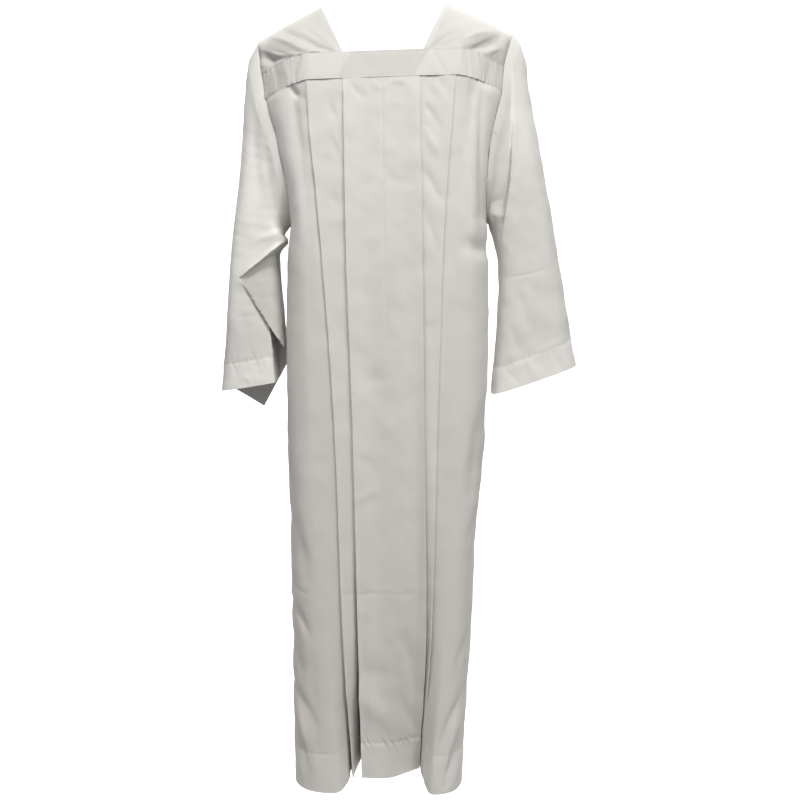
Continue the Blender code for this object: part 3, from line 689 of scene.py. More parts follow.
# %% Pleats and sides of a panel
SIDE_LAYERS = 4.0                       # the sides lie under as many layers as the outer pleats
SIDE_PRESS, PLEAT_PRESS = 8.0, 90.0     # how far down the band's seam still holds the cloth


def pleat_keys(face):
    """Key columns, rows x keys: x, depth, z, and how far under the band's edge they start."""
    keys = []
    for (name, _), (zs, plan) in zip(key_names(face), key_columns(face)):
        z = row_heights(face, zs[0], zs[-1])
        x, depth = glide(zs, plan, z).T
        if "edge" in name:
            depth = depth + EDGE_LIFT[name.split("_")[0]] * (1.0 - np.exp((z - zs[0]) / LIFT_REACH))
        under = abs(band_edge(face, "low", plan[0, 0] / BAND_LOW_HALF)[0, 1]) - plan[0, 1]
        keys.append(np.column_stack([x, depth, z, np.full_like(z, under)]))
    return np.stack(keys, 1)


def side_grid(face, side):
    """Columns from the armhole and side seam to where the panel's flat middle begins."""
    zs, plan = key_columns(face)[0 if side == "left" else -1]
    seam = armhole(side, face, seam_rows(face))
    rows, end_x = len(seam), SIGN[side] * BAND_LOW_HALF
    columns = []
    for share in np.arange(SIDE_COLUMNS) / SIDE_COLUMNS:
        z = row_heights(face, zs[0], LEVELS[face][-1][1] - HEM_SIDE_DROP * (1.0 - share) ** 2)
        z[:rows] = seam[:, 2] + (z[:rows] - seam[:, 2]) * share
        x, depth = side_points(face, side, z, share, glide(zs, plan, np.maximum(z, zs[-1])))
        if share == 0.0:
            x[:rows], depth[:rows] = seam[:, 0], np.abs(seam[:, 1])
        column = np.column_stack([x, depth, z])
        top = band_edge(face, "low", (end_x + (plan[0, 0] - end_x) * share) / BAND_LOW_HALF)[0]
        top[1] = abs(top[1]) - SIDE_LAYERS * LAYER_TOP * share
        column[:, :2] += (top - column[0])[:2] * np.exp((z - top[2]) / SIDE_PRESS)[:, None]
        column[0, 2] = top[2]
        columns.append(column)
    return np.stack(columns, 1)


# %% The whole panel as a grid
def panel_grid(face):
    """Middle points of a panel's cloth, rows x columns, from the robe's left to its right."""
    keys = pleat_keys(face)
    left, right = side_grid(face, "left"), side_grid(face, "right")
    first_way, last_way = np.zeros_like(keys[:, 0]), np.zeros_like(keys[:, 0])
    first_way[:, :2] = (keys[:, 0, :3] - left[:, -1])[:, :2]
    last_way[:, :2] = (right[:, -1] - keys[:, -1, :3])[:, :2]
    middle = filled_in(keys, key_names(face), first_way, last_way)
    edge_depth = np.abs(band_edge(face, "low", middle[0, :, 0] / BAND_LOW_HALF)[:, 1])
    move = edge_depth - middle[0, :, 3] - middle[0, :, 1]
    middle[..., 1] += move * np.exp((middle[..., 2] - middle[0, :, 2]) / PLEAT_PRESS)
    grid = np.concatenate([left, middle[..., :3], right[:, ::-1]], 1)
    grid[..., 1] *= SIGN[face]
    return grid


front_grid = panel_grid("front")
back_grid = panel_grid("back")
print("front grid", front_grid.shape, "back grid", back_grid.shape)

# %% [markdown]
# ## Wear and pressing on the body
# The creases are listed one by one. The robe was folded when packed, which left level creases across
# the middle. The side seams and the deep hem are a little short for the cloth beside them, so
# they pull it into slanting folds. The back gets creases of the same kind in other places.

# %% Creases of the body
BODY_CREASES = {
    "front": [
        # x0, z0, x1, z1, width, bow, rise
        (-75, -1039, -20, -1037, 2.6, 0.5, -0.35), (-24, -1036, 22, -1038, 3.2, -0.8, -0.25),
        (14, -1039, 62, -1036, 2.6, 0.6, -0.3), (-168, -1030, -140, -1040, 4, 2, -0.5),
        (-168, -1052, -150, -1056, 4, 1, 0.7), (-2, -150, 5, -560, 2.6, 1, -0.7),
        (-70, -560, 4, -690, 17, 6, -1.5), (-40, -640, 24, -655, 12, 3, -0.8),
        (-66, -700, -24, -706, 3.5, 1, -0.5), (-55, -1228, 14, -1285, 20, -4, 2.6),
        (-40, -1180, 10, -1190, 15, 3, -1.2), (36, -1120, 58, -1230, 12, -3, -1.8),
        (30, -1240, 60, -1310, 10, 2, -1.4), (150, -424, 186, -430, 14, 2, -5),
        (169, -176, 171, -400, 7, 2, -2.6), (150, -200, 153, -520, 12, -2, 1.6),
        (-137, -146, -118, -290, 6, 3, 1.3), (-155, -153, -143, -166, 5.5, 0, -3.4),
        (-118, -300, -112, -520, 9, 2, 0.8), (-150, -420, -146, -760, 14, 3, -1.6),
        (-18, -149, 6, -155, 4.5, 3, 0.9), (12, -147, 40, -150, 4.5, -3, 1),
        (-52, -150, -36, -168, 5, 2, -0.9), (78, -150, 88, -176, 6, 2, -1.1),
        (96, -150, 112, -172, 5, -2, -0.9), (0, -290, 32, -322, 9, 2, -0.9),
        (74, -190, 96, -222, 5, 0, -1.6), (74, -296, 94, -336, 6, 2, -1.7),
        (74, -232, 92, -262, 6, 2, 1.4), (76, -372, 92, -420, 7, 2, -1.4),
        (-92, -176, -82, -200, 6, 2, -1.1), (-88, -240, -78, -262, 6, 0, -0.9),
        (-86, -330, -76, -356, 7, 1, -0.8), (-45, -789, -18, -803, 5, 1, -0.7),
        (-46, -866, -14, -850, 4.5, 1, 0.8), (120, -430, 124, -470, 9, 0, -1.4),
        (183, -700, 158, -850, 13, 5, -2.4), (168, -840, 150, -960, 9, -3, 1.6),
        (163, -905, 150, -950, 6, 2, -1.6), (149, -1222, 100, -1346, 8, 6, -2.6),
        (146, -1262, 112, -1350, 6, 3, 1.8), (144, -1308, 112, -1396, 6, 3, -2.3),
        (152, -1120, 132, -1190, 8, 3, -1.6), (140, -1350, 126, -1404, 5, 0, 1.2),
        (-165, -1222, -134, -1276, 8, -3, -2.2), (-163, -1262, -146, -1316, 6, -2, 2),
        (-166, -1066, -138, -1114, 8, -2, -2), (-166, -1130, -150, -1190, 9, 0, -1.6),
        (-164, -1300, -140, -1380, 8, -3, -1.6), (-167, -900, -140, -1010, 12, -4, -1.8),
        (-130, -1150, -122, -1330, 12, 3, -1.2), (90, -560, 112, -880, 14, 4, -0.9),
        (147, -1236, 116, -1326, 3.6, 5, 1.1), (143, -1290, 118, -1372, 3.4, 2, -1.1),
        (134, -1322, 116, -1390, 3.2, 1, 0.9), (148, -1176, 134, -1226, 3.6, 2, -0.9),
        (150, -1100, 138, -1140, 3.6, 1, 0.8), (-164, -1238, -146, -1302, 3.6, -2, 1),
        (-163, -1284, -148, -1344, 3.4, -1, -1), (-165, -1078, -146, -1112, 3.4, 0, 1),
        (-164, -1150, -152, -1186, 3.4, 1, -0.8), (-162, -1348, -150, -1396, 3.4, 0, 0.8),
    ],
    "back": [
        (-80, -1022, -10, -1026, 2.8, 1, -0.7), (0, -1027, 74, -1021, 2.8, -1, -0.7),
        (-150, -1034, -92, -1022, 4, 2, -0.8), (92, -1024, 152, -1036, 4, -1, -0.7),
        (-60, -560, 34, -640, 18, 6, -1.6), (40, -430, -20, -520, 16, -5, -1.2),
        (-164, -180, -168, -410, 10, 2, -4), (166, -180, 172, -420, 10, -3, -3.6),
        (-146, -150, -134, -168, 6, 0, -2.6), (140, -146, 152, -166, 6, 0, -2.6),
        (-30, -122, 0, -132, 5, 3, 1), (20, -120, 52, -130, 5, -3, 0.9),
        (-58, -128, -40, -150, 5, 2, -0.9), (-20, -240, 26, -290, 12, 4, -1),
        (-40, -1230, 30, -1290, 20, 5, 2.2), (10, -1140, 40, -1240, 12, 3, -1.6),
        (-160, -1210, -124, -1320, 9, -5, -2.4), (-160, -1290, -128, -1385, 7, 3, -1.9),
        (148, -1200, 112, -1310, 9, 4, -2.3), (144, -1290, 116, -1388, 7, -3, -1.8),
        (-166, -860, -138, -990, 13, 4, -2), (170, -800, 146, -930, 12, -4, -2),
        (-120, -520, -112, -760, 14, 3, -1.2), (118, -600, 126, -860, 14, -3, -1.3),
        (-48, -800, -12, -812, 5, 1, -0.7), (14, -900, 48, -884, 5, 1, 0.7),
        (-156, -1080, -132, -1140, 8, 2, -1.7), (156, -1050, 136, -1120, 8, -2, -1.6),
    ],
}
print("creases:", {face: len(rows) for face, rows in BODY_CREASES.items()})


# %% Press them into the panels
BODY_HALF, BODY_DEEP = 176.0, 112.0     # half sizes of the plan, for the way the cloth faces
TUCKED_UP = 3.0                         # mm of the panels that lie behind the bands


def body_wear(face, grid):
    """Move a panel's cloth by its creases and puckers, all its layers together."""
    seed = 11 if face == "front" else 29
    x, y, z = grid[..., 0], grid[..., 1], grid[..., 2]
    across, down = lengths(grid, 1), lengths(grid, 0)
    from_left, from_right = across, across[:, -1:] - across
    from_hem = down[-1:] - down
    strength = 1.5 + smooth(-z, 640.0, 800.0)             # creases are deeper lower down
    rise = strength * creases(BODY_CREASES[face], x, z) + 0.45 * uneven(x, z, 62.0, seed)
    rise += 0.26 * uneven(x, z, 27.0, seed + 1) + 0.06 * uneven(x, 0.7 * z, 13.0, seed + 9)
    ends = 0.3 + 0.7 * smooth(np.abs(x), 105.0, 165.0)    # the band's ends draw in most
    rise += ends * puckers("panel_top", down, x, seed + 2) - 0.3 * np.exp(-down / 4.0)
    upper = (np.arange(grid.shape[0]) <= UPPER_ROWS + 6)[:, None]     # rows beside the armhole
    rise *= np.where(upper, 1.0, smooth(np.minimum(from_left, from_right), 0.0, 14.0))
    lower = ~upper * smooth(from_hem, 0.0, 40.0) * (0.25 + 0.85 * smooth(-z, 900.0, 1080.0))
    for gap, turn in ((from_left, 3), (from_right, 4)):
        rise += upper * puckers("panel_armhole", gap, down, seed + turn)
        # here both panels draw the same numbers, so the side seam between them stays shut
        rise += lower * puckers("side_seam", gap, down - 0.9 * gap, 15 + turn)
        rise -= SEAM_SINK * dent(gap, SEAM_WIDE)
    line = from_hem - HEM_DEEP
    between = np.abs(x) < 66.0                            # the hem puckers most between the pleats
    rise += (1.2 + 1.5 * between) * puckers("hem", np.abs(line), x + 0.5 * line, seed + 7)
    rise += 0.5 * smooth(-line, -1.5, 3.0) - 0.9 * dent(line, 2.4)     # the hem is thicker
    out = np.stack([x / BODY_HALF ** 2, y / BODY_DEEP ** 2, np.zeros_like(z)], -1)
    return grid + unit(out) * rise[..., None]


def tucked_up(grid):
    """Let the cloth's top edge run a little way up behind the band."""
    extra = grid[:1] + np.array([0.0, 0.0, TUCKED_UP])
    return np.concatenate([extra, grid], 0)


def panel_cloth_and_painted_light(face, grid):
    """Cloth behind each point, 0 one layer against the dark, 1 folds or a hem, with painted light and
    shade.
    """
    x, z = grid[..., 0], grid[..., 2]
    knots = dict(zip(key_names(face), key_columns(face)))

    def along(name):
        """X of a fold's edge at the height of each point."""
        zs, plan = knots[(name, "tip")]
        return np.interp(z, zs[::-1], plan[::-1, 0])

    def inside(name, sign, low, high):
        """Soft step on the side of a fold's edge that the sign gives."""
        return smooth(sign * (x - along(name)), low, high)

    pleated = inside("outer_edge_l", 1.0, -2.0, 1.0) * inside("outer_edge_r", -1.0, -2.0, 1.0)
    middle = inside("centre_edge_l", 1.0, 26.0, 52.0) * inside("centre_edge_r", -1.0, 26.0, 52.0)
    # pleats are doubled cloth; the right side and the chest are painted lighter and the foot painted
    # darker, as painted light and shade
    behind = 0.62 + 0.38 * pleated - 0.22 * middle + 0.2 * smooth(x, 70.0, 110.0)
    behind += 0.4 * smooth(z, -480.0, -380.0) - 0.35 * smooth(-z, 500.0, 1200.0)
    # painted shade low on the right half of the centre panel, where it falls back, and along the
    # inside of its right edge, and a painted shadow just past that edge
    past = x - along("centre_edge_r")
    behind -= 0.45 * smooth(x, -20.0, 60.0) * smooth(-past, 0.0, 2.0) * smooth(-z, 850.0, 1150.0)
    behind -= 0.7 * smooth(past, -20.0, -3.0) * smooth(-past, -0.5, 1.0) * smooth(-z, 380.0, 860.0)
    behind -= 0.9 * smooth(past, 0.0, 0.8) * np.exp(-np.maximum(past, 0.0) / 2.6)
    down = lengths(grid, 0)
    return behind + 0.32 * (1.0 - smooth(down[-1:] - down, HEM_DEEP - 1.0, HEM_DEEP + 1.0))


front_cloth = tucked_up(body_wear("front", front_grid))
back_cloth = tucked_up(body_wear("back", back_grid))
front_panel = shell("cloth_front_panel", front_cloth, behind_and_painted_light=panel_cloth_and_painted_light("front", front_cloth))
back_panel = shell("cloth_back_panel", back_cloth[:, ::-1],
                   behind_and_painted_light=panel_cloth_and_painted_light("back", back_cloth)[:, ::-1])

# %% [markdown]
# ## The bands
# A straight strip of doubled cloth runs across the chest from armhole to armhole, and another
# across the back. Its ends drop and turn back over the shoulders. The stitches on both of its
# edges hold more cloth than the strip has, which ripples its ends. Behind its middle there is no
# second cloth, so it looks duller there than where the yokes' seams lie behind it.

# %% Make the bands
BAND_ROWS, BAND_COLUMNS = 22, 300
BAND_OUT = 0.35                         # the band lies over the edges of its neighbours
BAND_CREASES = {
    "front": [
        (-142, -99, -152, -136, 5, 1, -1.6), (-170, -104, -160, -138, 6, 1, 1),
        (-186, -112, -180, -146, 5, -1, -1.1), (-66, -95, -72, -137, 2.2, 0, -0.5),
        (62, -95, 32, -137, 2.6, 0, -0.55), (84, -96, 108, -137, 5, 2, -0.7),
        (96, -98, 84, -136, 7, 0, 0.6), (140, -98, 148, -136, 4.5, 1, -1.4),
        (160, -102, 166, -140, 6, -1, 1), (184, -112, 182, -148, 6, 1, -1.2),
        (-40, -100, -8, -132, 9, 3, -0.5), (0, -128, 28, -104, 6, 2, 0.5),
    ],
    "back": [
        (-140, -74, -150, -108, 5, 1, -1.4), (-172, -80, -164, -112, 6, 1, 0.9),
        (144, -74, 150, -108, 5, 1, -1.3), (170, -80, 176, -114, 6, 0, 1),
        (-30, -70, 4, -108, 9, 3, -0.5), (60, -72, 40, -106, 8, 2, -0.5),
    ],
}


def band_grid(face):
    """Middle points of a band before its wear, from its top edge to its low edge."""
    s = np.linspace(-1.0, 1.0, BAND_COLUMNS + 1)
    top, low = band_edge(face, "top", s), band_edge(face, "low", s)
    part = np.linspace(0.0, 1.0, BAND_ROWS + 1)[:, None, None]
    grid = top[None] + (low - top)[None] * part
    b = BANDS[face]
    end_top, end_low = b["top_z"] - b["top_drop"], b["low_z"] - b["low_drop"]
    t = armhole_at(end_top + (end_low - end_top) * part[:, 0, 0])
    for side, column in (("left", 0), ("right", -1)):
        near = (np.maximum(SIGN[side] * s, 0.0) ** 12)[None, :, None]
        grid += (armhole(side, face, t)[:, None] - grid[:, column][:, None]) * near
    return grid


def band_wear(face, grid):
    """Lay a band over its neighbours, with its creases and the puckers of its four seams."""
    seed = 41 if face == "front" else 47
    x, y, z = grid[..., 0], grid[..., 1], grid[..., 2]
    from_top, from_low = lengths(grid, 0), lengths(grid[::-1], 0)[::-1]
    gap = lengths(grid, 1)
    gap = np.minimum(gap, gap[:, -1:] - gap)
    ends = 0.25 + smooth(np.abs(x), 120.0, 165.0)
    rise = 1.35 * creases(BAND_CREASES[face], x, z) + 0.15 * uneven(x, z, 34.0, seed) + BAND_OUT
    rise += ends * puckers("band_top", from_top, x, seed + 1)
    rise += ends * puckers("band_low", from_low, x, seed + 2)
    rise -= 0.45 * (dent(from_top - EDGE_STITCH, 1.2) + dent(from_low - EDGE_STITCH, 1.2))
    rise += puckers("band_end", gap, z, seed + 3) - SEAM_SINK * dent(gap, SEAM_WIDE)
    out = np.stack([x / 230.0 ** 2, y / 100.0 ** 2, np.full_like(z, 0.0012)], -1)
    return grid + unit(out) * rise[..., None]


band_front_cloth, band_back_cloth = (band_wear(face, band_grid(face)) for face in ("front", "back"))
slant = band_front_cloth[..., 0] - 0.6 * (band_front_cloth[..., 2] + 116.0)
front_behind = np.where(np.abs(slant) < 66.0, 0.2, 0.6)
band_front = shell("cloth_band_front", band_front_cloth, behind_and_painted_light=front_behind)
band_back = shell("cloth_band_back", band_back_cloth[:, ::-1])

# %% [markdown]
# ## The yokes
# Each yoke lies over one shoulder, from the square neck to the armhole, and joins the front band
# to the back one. The ridge of the shoulder is where the robe is held up. From there the cloth is
# pulled slantwise to the corner of the neck, so folds fan out from that corner, and the cloth
# beside the armhole sinks into a hollow above the band.

# %% Creases of the yokes
YOKE_CREASES = {
    ("left", "front"): [
        (-215, -84, -188, -99, 8, 1, -5.5), (-190, -95, -158, -99, 4.5, 0, -3),
        (-190, -56, -140, -84, 5, -1.5, 2.6), (-146, -83, -110, -94, 4, 0, 2),
        (-172, -46, -88, -91, 5.5, 2, -2.6), (-118, -80, -90, -91, 3.2, 0, -1.5),
        (-134, -56, -96, -86, 5, 1, 1.6), (-120, -50, -84, -88, 5, -1, 1.1),
        (-98, -52, -76, -86, 4, 1, -1.5), (-214, -60, -208, -112, 6, 1.5, 2.2),
        (-196, -88, -190, -112, 5, 0, -2), (-130, -30, -100, -40, 14, 0, -0.8),
        (-206, -77, -176, -91, 3, 1, 1.4), (-186, -83, -160, -92, 3, 0, -1.3),
        (-170, -88, -142, -95, 3, 1, 1.2),
    ],
    ("right", "front"): [
        (200, -70, 166, -88, 8.5, -2, -6), (170, -89, 142, -95, 5, 0, -3.4),
        (178, -60, 120, -84, 5, 1.5, 2.4), (150, -68, 88, -91, 5, -2, -2.4),
        (124, -52, 74, -88, 6, 1, 1.6), (116, -66, 84, -90, 3.5, 0, -1.2),
        (100, -50, 76, -84, 4, -1, -1.3), (214, -62, 206, -108, 6, -1.5, 2),
        (190, -92, 178, -100, 4, 0, 1.6), (140, -34, 104, -40, 14, 0, -0.8),
        (196, -72, 168, -86, 3, -1, 1.4), (182, -78, 158, -89, 3, 0, -1.3),
        (204, -88, 184, -98, 3, 1, 1.3),
    ],
    ("left", "back"): [
        (-198, -56, -160, -70, 9, 2, -5), (-180, -40, -96, -62, 5.5, -2, -2.2),
        (-150, -44, -92, -58, 5, 1, 1.6), (-120, -34, -84, -58, 4.5, 1, -1.3),
        (-212, -54, -206, -90, 6, 1, 1.8),
    ],
    ("right", "back"): [
        (196, -54, 156, -70, 9, -2, -4.6), (176, -42, 94, -62, 5.5, 2, -2.2),
        (140, -40, 84, -60, 5, -1, 1.6), (214, -56, 206, -90, 6, -1, 1.8),
    ],
}
YOKE_ACROSS, YOKE_DOWN = 60, 58
print("yoke creases:", sum(len(rows) for rows in YOKE_CREASES.values()))


# %% Make the yokes
def yoke_half(side, face):
    """Middle points of a yoke from the ridge to a band, before its wear: rows x columns."""
    neck = np.array([SIGN[side] * NECK_HALF, 0.0, 0.0])
    tip = armhole(side, "front", 0.0)[0]
    b = BANDS[face]
    t_end = armhole_at(b["top_z"] - b["top_drop"])[0]
    inner = NECK_CORNER[face] / BAND_TOP_HALF
    a = np.linspace(0.0, 1.0, YOKE_ACROSS + 1)
    ridge = neck + (tip - neck) * a[:, None]
    foot = band_edge(face, "top", SIGN[side] * (inner + (1.0 - inner) * a))
    end_foot = band_edge(face, "top", SIGN[side])[0]
    rows = []
    for j in range(YOKE_DOWN + 1):
        share = j / YOKE_DOWN
        soft = (math.sqrt(share ** 2 + RIDGE_SOFT ** 2) - RIDGE_SOFT) / (
            math.sqrt(1.0 + RIDGE_SOFT ** 2) - RIDGE_SOFT)
        fall = 0.65 * soft + 0.35 * (1.0 - math.cos(share * math.pi / 2.0))
        out = 0.65 * share + 0.35 * math.sin(share * math.pi / 2.0)
        part = np.array([fall, out, fall])
        to_seam = armhole(side, face, t_end * share)[0] - tip - (end_foot - tip) * part
        rows.append(ridge + (foot - ridge) * part + to_seam * a[:, None] ** 4)
    return np.stack(rows)


def yoke_wear(side, face, half):
    """Press creases, puckers and seams into half a yoke."""
    x, z = half[..., 0], half[..., 2]
    from_neck = lengths(half, 1)
    from_armhole = from_neck[:, -1:] - from_neck
    from_band = lengths(half[::-1], 0)[::-1]
    seed = {"left": 53, "right": 59}[side] + (0 if face == "front" else 3)
    apart = smooth(lengths(half, 0), 4.0, 26.0)           # the ridge itself stays smooth
    rise = 1.05 * creases(YOKE_CREASES[(side, face)], x, z) + 0.15 * uneven(x, z, 40.0, seed)
    rise += puckers("yoke_armhole", from_armhole, z, seed + 2)
    rise *= apart
    ends = 0.15 + 0.85 * smooth(np.abs(x), 130.0, 170.0)
    rise += ends * puckers("yoke_foot", from_band, x, seed + 1) - 0.3 * np.exp(-from_band / 3.0)
    rise -= SEAM_SINK * dent(from_armhole, SEAM_WIDE) + 0.35 * dent(from_neck - NECK_HEM, 1.3)
    out = facing(half, False)
    out *= np.sign(out[..., 2].mean())
    return half + out * rise[..., None]


def yoke_grid(side):
    """A whole yoke, from the front band over the ridge to the back one."""
    front, back = (yoke_wear(side, face, yoke_half(side, face)) for face in ("front", "back"))
    grid = np.concatenate([front[::-1], back[1:]])
    return grid if side == "left" else grid[:, ::-1]


yoke_cloth = {side: yoke_grid(side) for side in ("left", "right")}
yokes = {}
for side, grid in yoke_cloth.items():
    down = lengths(grid, 0)
    from_ridge = down - down[YOKE_DOWN]
    hem = lengths(grid, 1) if side == "left" else lengths(grid[:, ::-1], 1)[:, ::-1]
    narrow_hem = 0.35 * smooth(-hem, -NECK_HEM, 1.0 - NECK_HEM)
    behind = np.maximum(dent(from_ridge, 22.0), narrow_hem)
    yokes[side] = shell("cloth_yoke_" + side, grid, behind_and_painted_light=behind)

# %% [markdown]
# ## The sleeves
# A sleeve starts as the armhole's own line, and loses that form within a hand's breadth. Below,
# it is a wide flattened tube. On the left it is tucked at the elbow: the upper part overhangs in
# a lip, and under it a flap of the same cloth folds slantwise over the lower sleeve, whose front
# edge then turns sharply back and shows the inside. On the right the tube overlaps the cloth
# beside the armhole in one long fold. Both forms are given as depths over the front of the tube.

# %% Rings of a sleeve
FRONT_COLUMNS, BACK_COLUMNS = 112, 34
RING_WIDE = 4.2
RING_FINE = {"left": 2.1, "right": 3.2}
FINE_FROM = 3.6                         # table row where the finer rings start
ARMHOLE_FADE = 4.0
BOXY = {"left": 4.4, "right": 3.2}      # how squarely a sleeve's front turns into its back
FRONT_TIP, BACK_TIP = 0.86, 0.575       # where the left cuff's front and back hang lowest


def section(place, power):
    """Share from the outer to the inner line, and share of the reach, at places 0 to 2 around."""
    angle = math.pi * np.asarray(place)
    power = 2.0 / power
    along = 0.5 - 0.5 * np.sign(np.cos(angle)) * np.abs(np.cos(angle)) ** power
    return along, np.abs(np.sin(angle)) ** power


def places_around():
    """Places around a sleeve: 0 outer line, 1 inner line, 2 outer line again, closer in front."""
    fine = np.linspace(0.0, 1.0, 3001)
    along, bulge = section(fine, 3.6)
    long = lengths(np.stack([110.0 * along, 52.0 * bulge, 0.0 * along], 1)[:, None], 0)[:, 0]
    front = np.interp(np.linspace(0.0, long[-1], FRONT_COLUMNS + 1), long, fine)
    back = 1.0 + np.interp(np.linspace(0.0, long[-1], BACK_COLUMNS + 1), long, fine)
    return np.concatenate([front, back[1:-1]])


PLACES = places_around()
IN_FRONT = PLACES <= 1.0


def armhole_ring(side):
    """The whole armhole as one ring, from the shoulder tip down the front and up the back."""
    t = np.linspace(0.0, len(ARMHOLE) - 1.0, 4001)
    long = lengths(armhole(side, "front", t)[:, None], 0)[:, 0]
    share = np.where(IN_FRONT, PLACES, 2.0 - PLACES)
    t = np.interp(share * long[-1], long, t)
    ring = np.where(IN_FRONT[:, None], armhole(side, "front", t), armhole(side, "back", t))
    return ring + np.array([-0.2 if side == "left" else 0.2, 0.0, 0.0])


def tent(share, tip):
    """Straight slopes from 0 up to 1 at the tip and down to 0."""
    return np.minimum(share / tip, (1.0 - share) / (1.0 - tip))


def sleeve_base(side):
    """Middle points of a sleeve before its folds and wear: rings x points around."""
    loop = armhole_ring(side)
    table = np.array(SLEEVES[side], float)
    long = np.concatenate([[0.0], np.cumsum(np.hypot(*np.diff(table[:, :2], axis=0).T))])
    fine_from = np.interp(FINE_FROM, range(len(table)), long)
    ways = np.concatenate([np.arange(0.0, fine_from, RING_WIDE),
                           np.arange(fine_from, long[-1], RING_FINE[side]), long[-1:]])
    inner = np.argmin(np.abs(PLACES - 1.0))
    share = (loop[0, 2] - loop[:, 2]) / (loop[0, 2] - loop[inner, 2])
    bow = loop[:, 0] - (loop[0, 0] + (loop[inner, 0] - loop[0, 0]) * share)
    rings = [loop]
    for at in np.interp(ways, long, np.arange(len(table))):
        row = glide(range(len(table)), table, at)[0]
        x_out, z_out, x_in, z_in, front, back, hang_front, hang_back = row
        keep = 1.0 - float(smooth(at, 0.0, ARMHOLE_FADE))
        along, bulge = section(PLACES, 2.2 + (BOXY[side] - 2.2) * float(smooth(at, 1.5, 5.0)))
        if side == "left":
            hang = np.where(IN_FRONT, hang_front * tent(along, FRONT_TIP),
                            hang_back * tent(along, BACK_TIP))
        else:
            hang = np.where(IN_FRONT, hang_front, hang_back) * bulge
        along = along + (share - along) * keep
        bulge = bulge + (np.abs(loop[:, 1]) / np.abs(loop[:, 1]).max() - bulge) * keep
        rings.append(np.stack([x_out + (x_in - x_out) * along + bow * keep,
                               np.where(IN_FRONT, -front, back) * bulge,
                               z_out + (z_in - z_out) * along - hang], 1))
    return np.stack(rings)


# %% Folds that overlap on the sleeves
TUCK_OUT, TUCK_IN = np.array([-256.0, -474.0]), np.array([-175.0, -410.0])   # lip of the tuck
FLAP_LOW = np.array([-169.0, -619.0])                                        # tip of the flap
EDGE_TOP, EDGE_LOW = np.array([-204.0, -560.0]), np.array([-194.5, -672.0])  # edge that turns back
TURNED_Y = 34.0                         # how far back the cloth beyond that edge lies
OVERLAP = np.array([
    # z, x, step : the long fold down the front of the right sleeve
    (-60, 221, 0.4), (-100, 223, 1.8), (-178, 226, 4.8), (-304, 222, 11),
    (-367, 215, 14), (-417, 208, 11), (-456, 204, 0),
])


def past_line(x, z, a, b):
    """Distance of points from the line on from a to b, positive on its right in the front view."""
    way = (b - a) / np.linalg.norm(b - a)
    return way[0] * (z - a[1]) - way[1] * (x - a[0])


def snapped(grid, past, axis, allowed):
    """Bring the two points on either side of a line onto it, so a fold's edge runs clean."""
    p = np.moveaxis(grid, axis, 0).copy()
    far, ok = np.moveaxis(past, axis, 0), np.moveaxis(allowed, axis, 0)
    i, j = np.nonzero((far[:-1] <= 0.0) & (far[1:] > 0.0) & ok[:-1] & ok[1:])
    share = (far[i, j] / (far[i, j] - far[i + 1, j]))[:, None]
    here, way = p[i, j].copy(), p[i + 1, j] - p[i, j]
    p[i, j], p[i + 1, j] = here + way * (share - 0.04), here + way * (share + 0.04)
    return np.moveaxis(p, 0, axis)


def left_folds(grid):
    """The left sleeve with its lip, the flap under it, and the front edge that turns back."""
    x, z = grid[..., 0], grid[..., 2]
    front = np.broadcast_to(IN_FRONT & (PLACES > 0.02), x.shape)
    lip = -past_line(x, z, TUCK_OUT, TUCK_IN)
    flap = past_line(x, z, TUCK_OUT, FLAP_LOW)
    edge = past_line(x, z, EDGE_TOP, EDGE_LOW)
    below = front & (lip > 0.0) & (z < -395.0)
    on_flap, turned = below & (flap > 0.0), below & (flap <= 0.0) & (edge > 0.0)
    grid = snapped(grid, lip, 0, front & (x > TUCK_OUT[0]) & (z < -380.0))
    grid = snapped(grid, flap, 1, below)
    grid = snapped(grid, edge, 1, below & (flap <= 0.0))
    x, y, z = grid[..., 0], grid[..., 1], grid[..., 2]
    lip, flap = -past_line(x, z, TUCK_OUT, TUCK_IN), past_line(x, z, TUCK_OUT, FLAP_LOW)
    along_lip = np.clip((x - TUCK_OUT[0]) / (TUCK_IN[0] - TUCK_OUT[0]), 0.0, 1.0)
    along_flap = np.clip((z - TUCK_OUT[1]) / (FLAP_LOW[1] - TUCK_OUT[1]), 0.0, 1.0)
    edge_on = smooth(np.sin(math.pi * PLACES), 0.0, 0.25)[None, :]
    step = (0.6 + 14.0 * along_lip ** 0.8) * (1.0 - 0.8 * along_flap)
    step *= np.exp(-np.maximum(lip, 0.0) / 90.0)
    under = (4.5 + 11.0 * along_flap) * np.exp(np.minimum(flap, 0.0) / 26.0) * smooth(lip, 0.0, 26.0)
    swell = -5.0 * np.exp(np.minimum(lip, 0.0) / 8.0) * smooth(along_lip, 0.0, 0.25) * edge_on
    beside = np.where(below, under * smooth(along_flap, 0.0, 0.12), swell * front)
    depth = np.where(on_flap, step, beside)
    y = np.where(turned, TURNED_Y, y + depth * np.where(on_flap, 1.0, edge_on))
    inner_turned = turned[:, IN_FRONT][:, -3:-2]
    y = np.where(inner_turned & (PLACES > 0.97), np.maximum(y, TURNED_Y), y)
    return np.stack([x, y, z], -1)


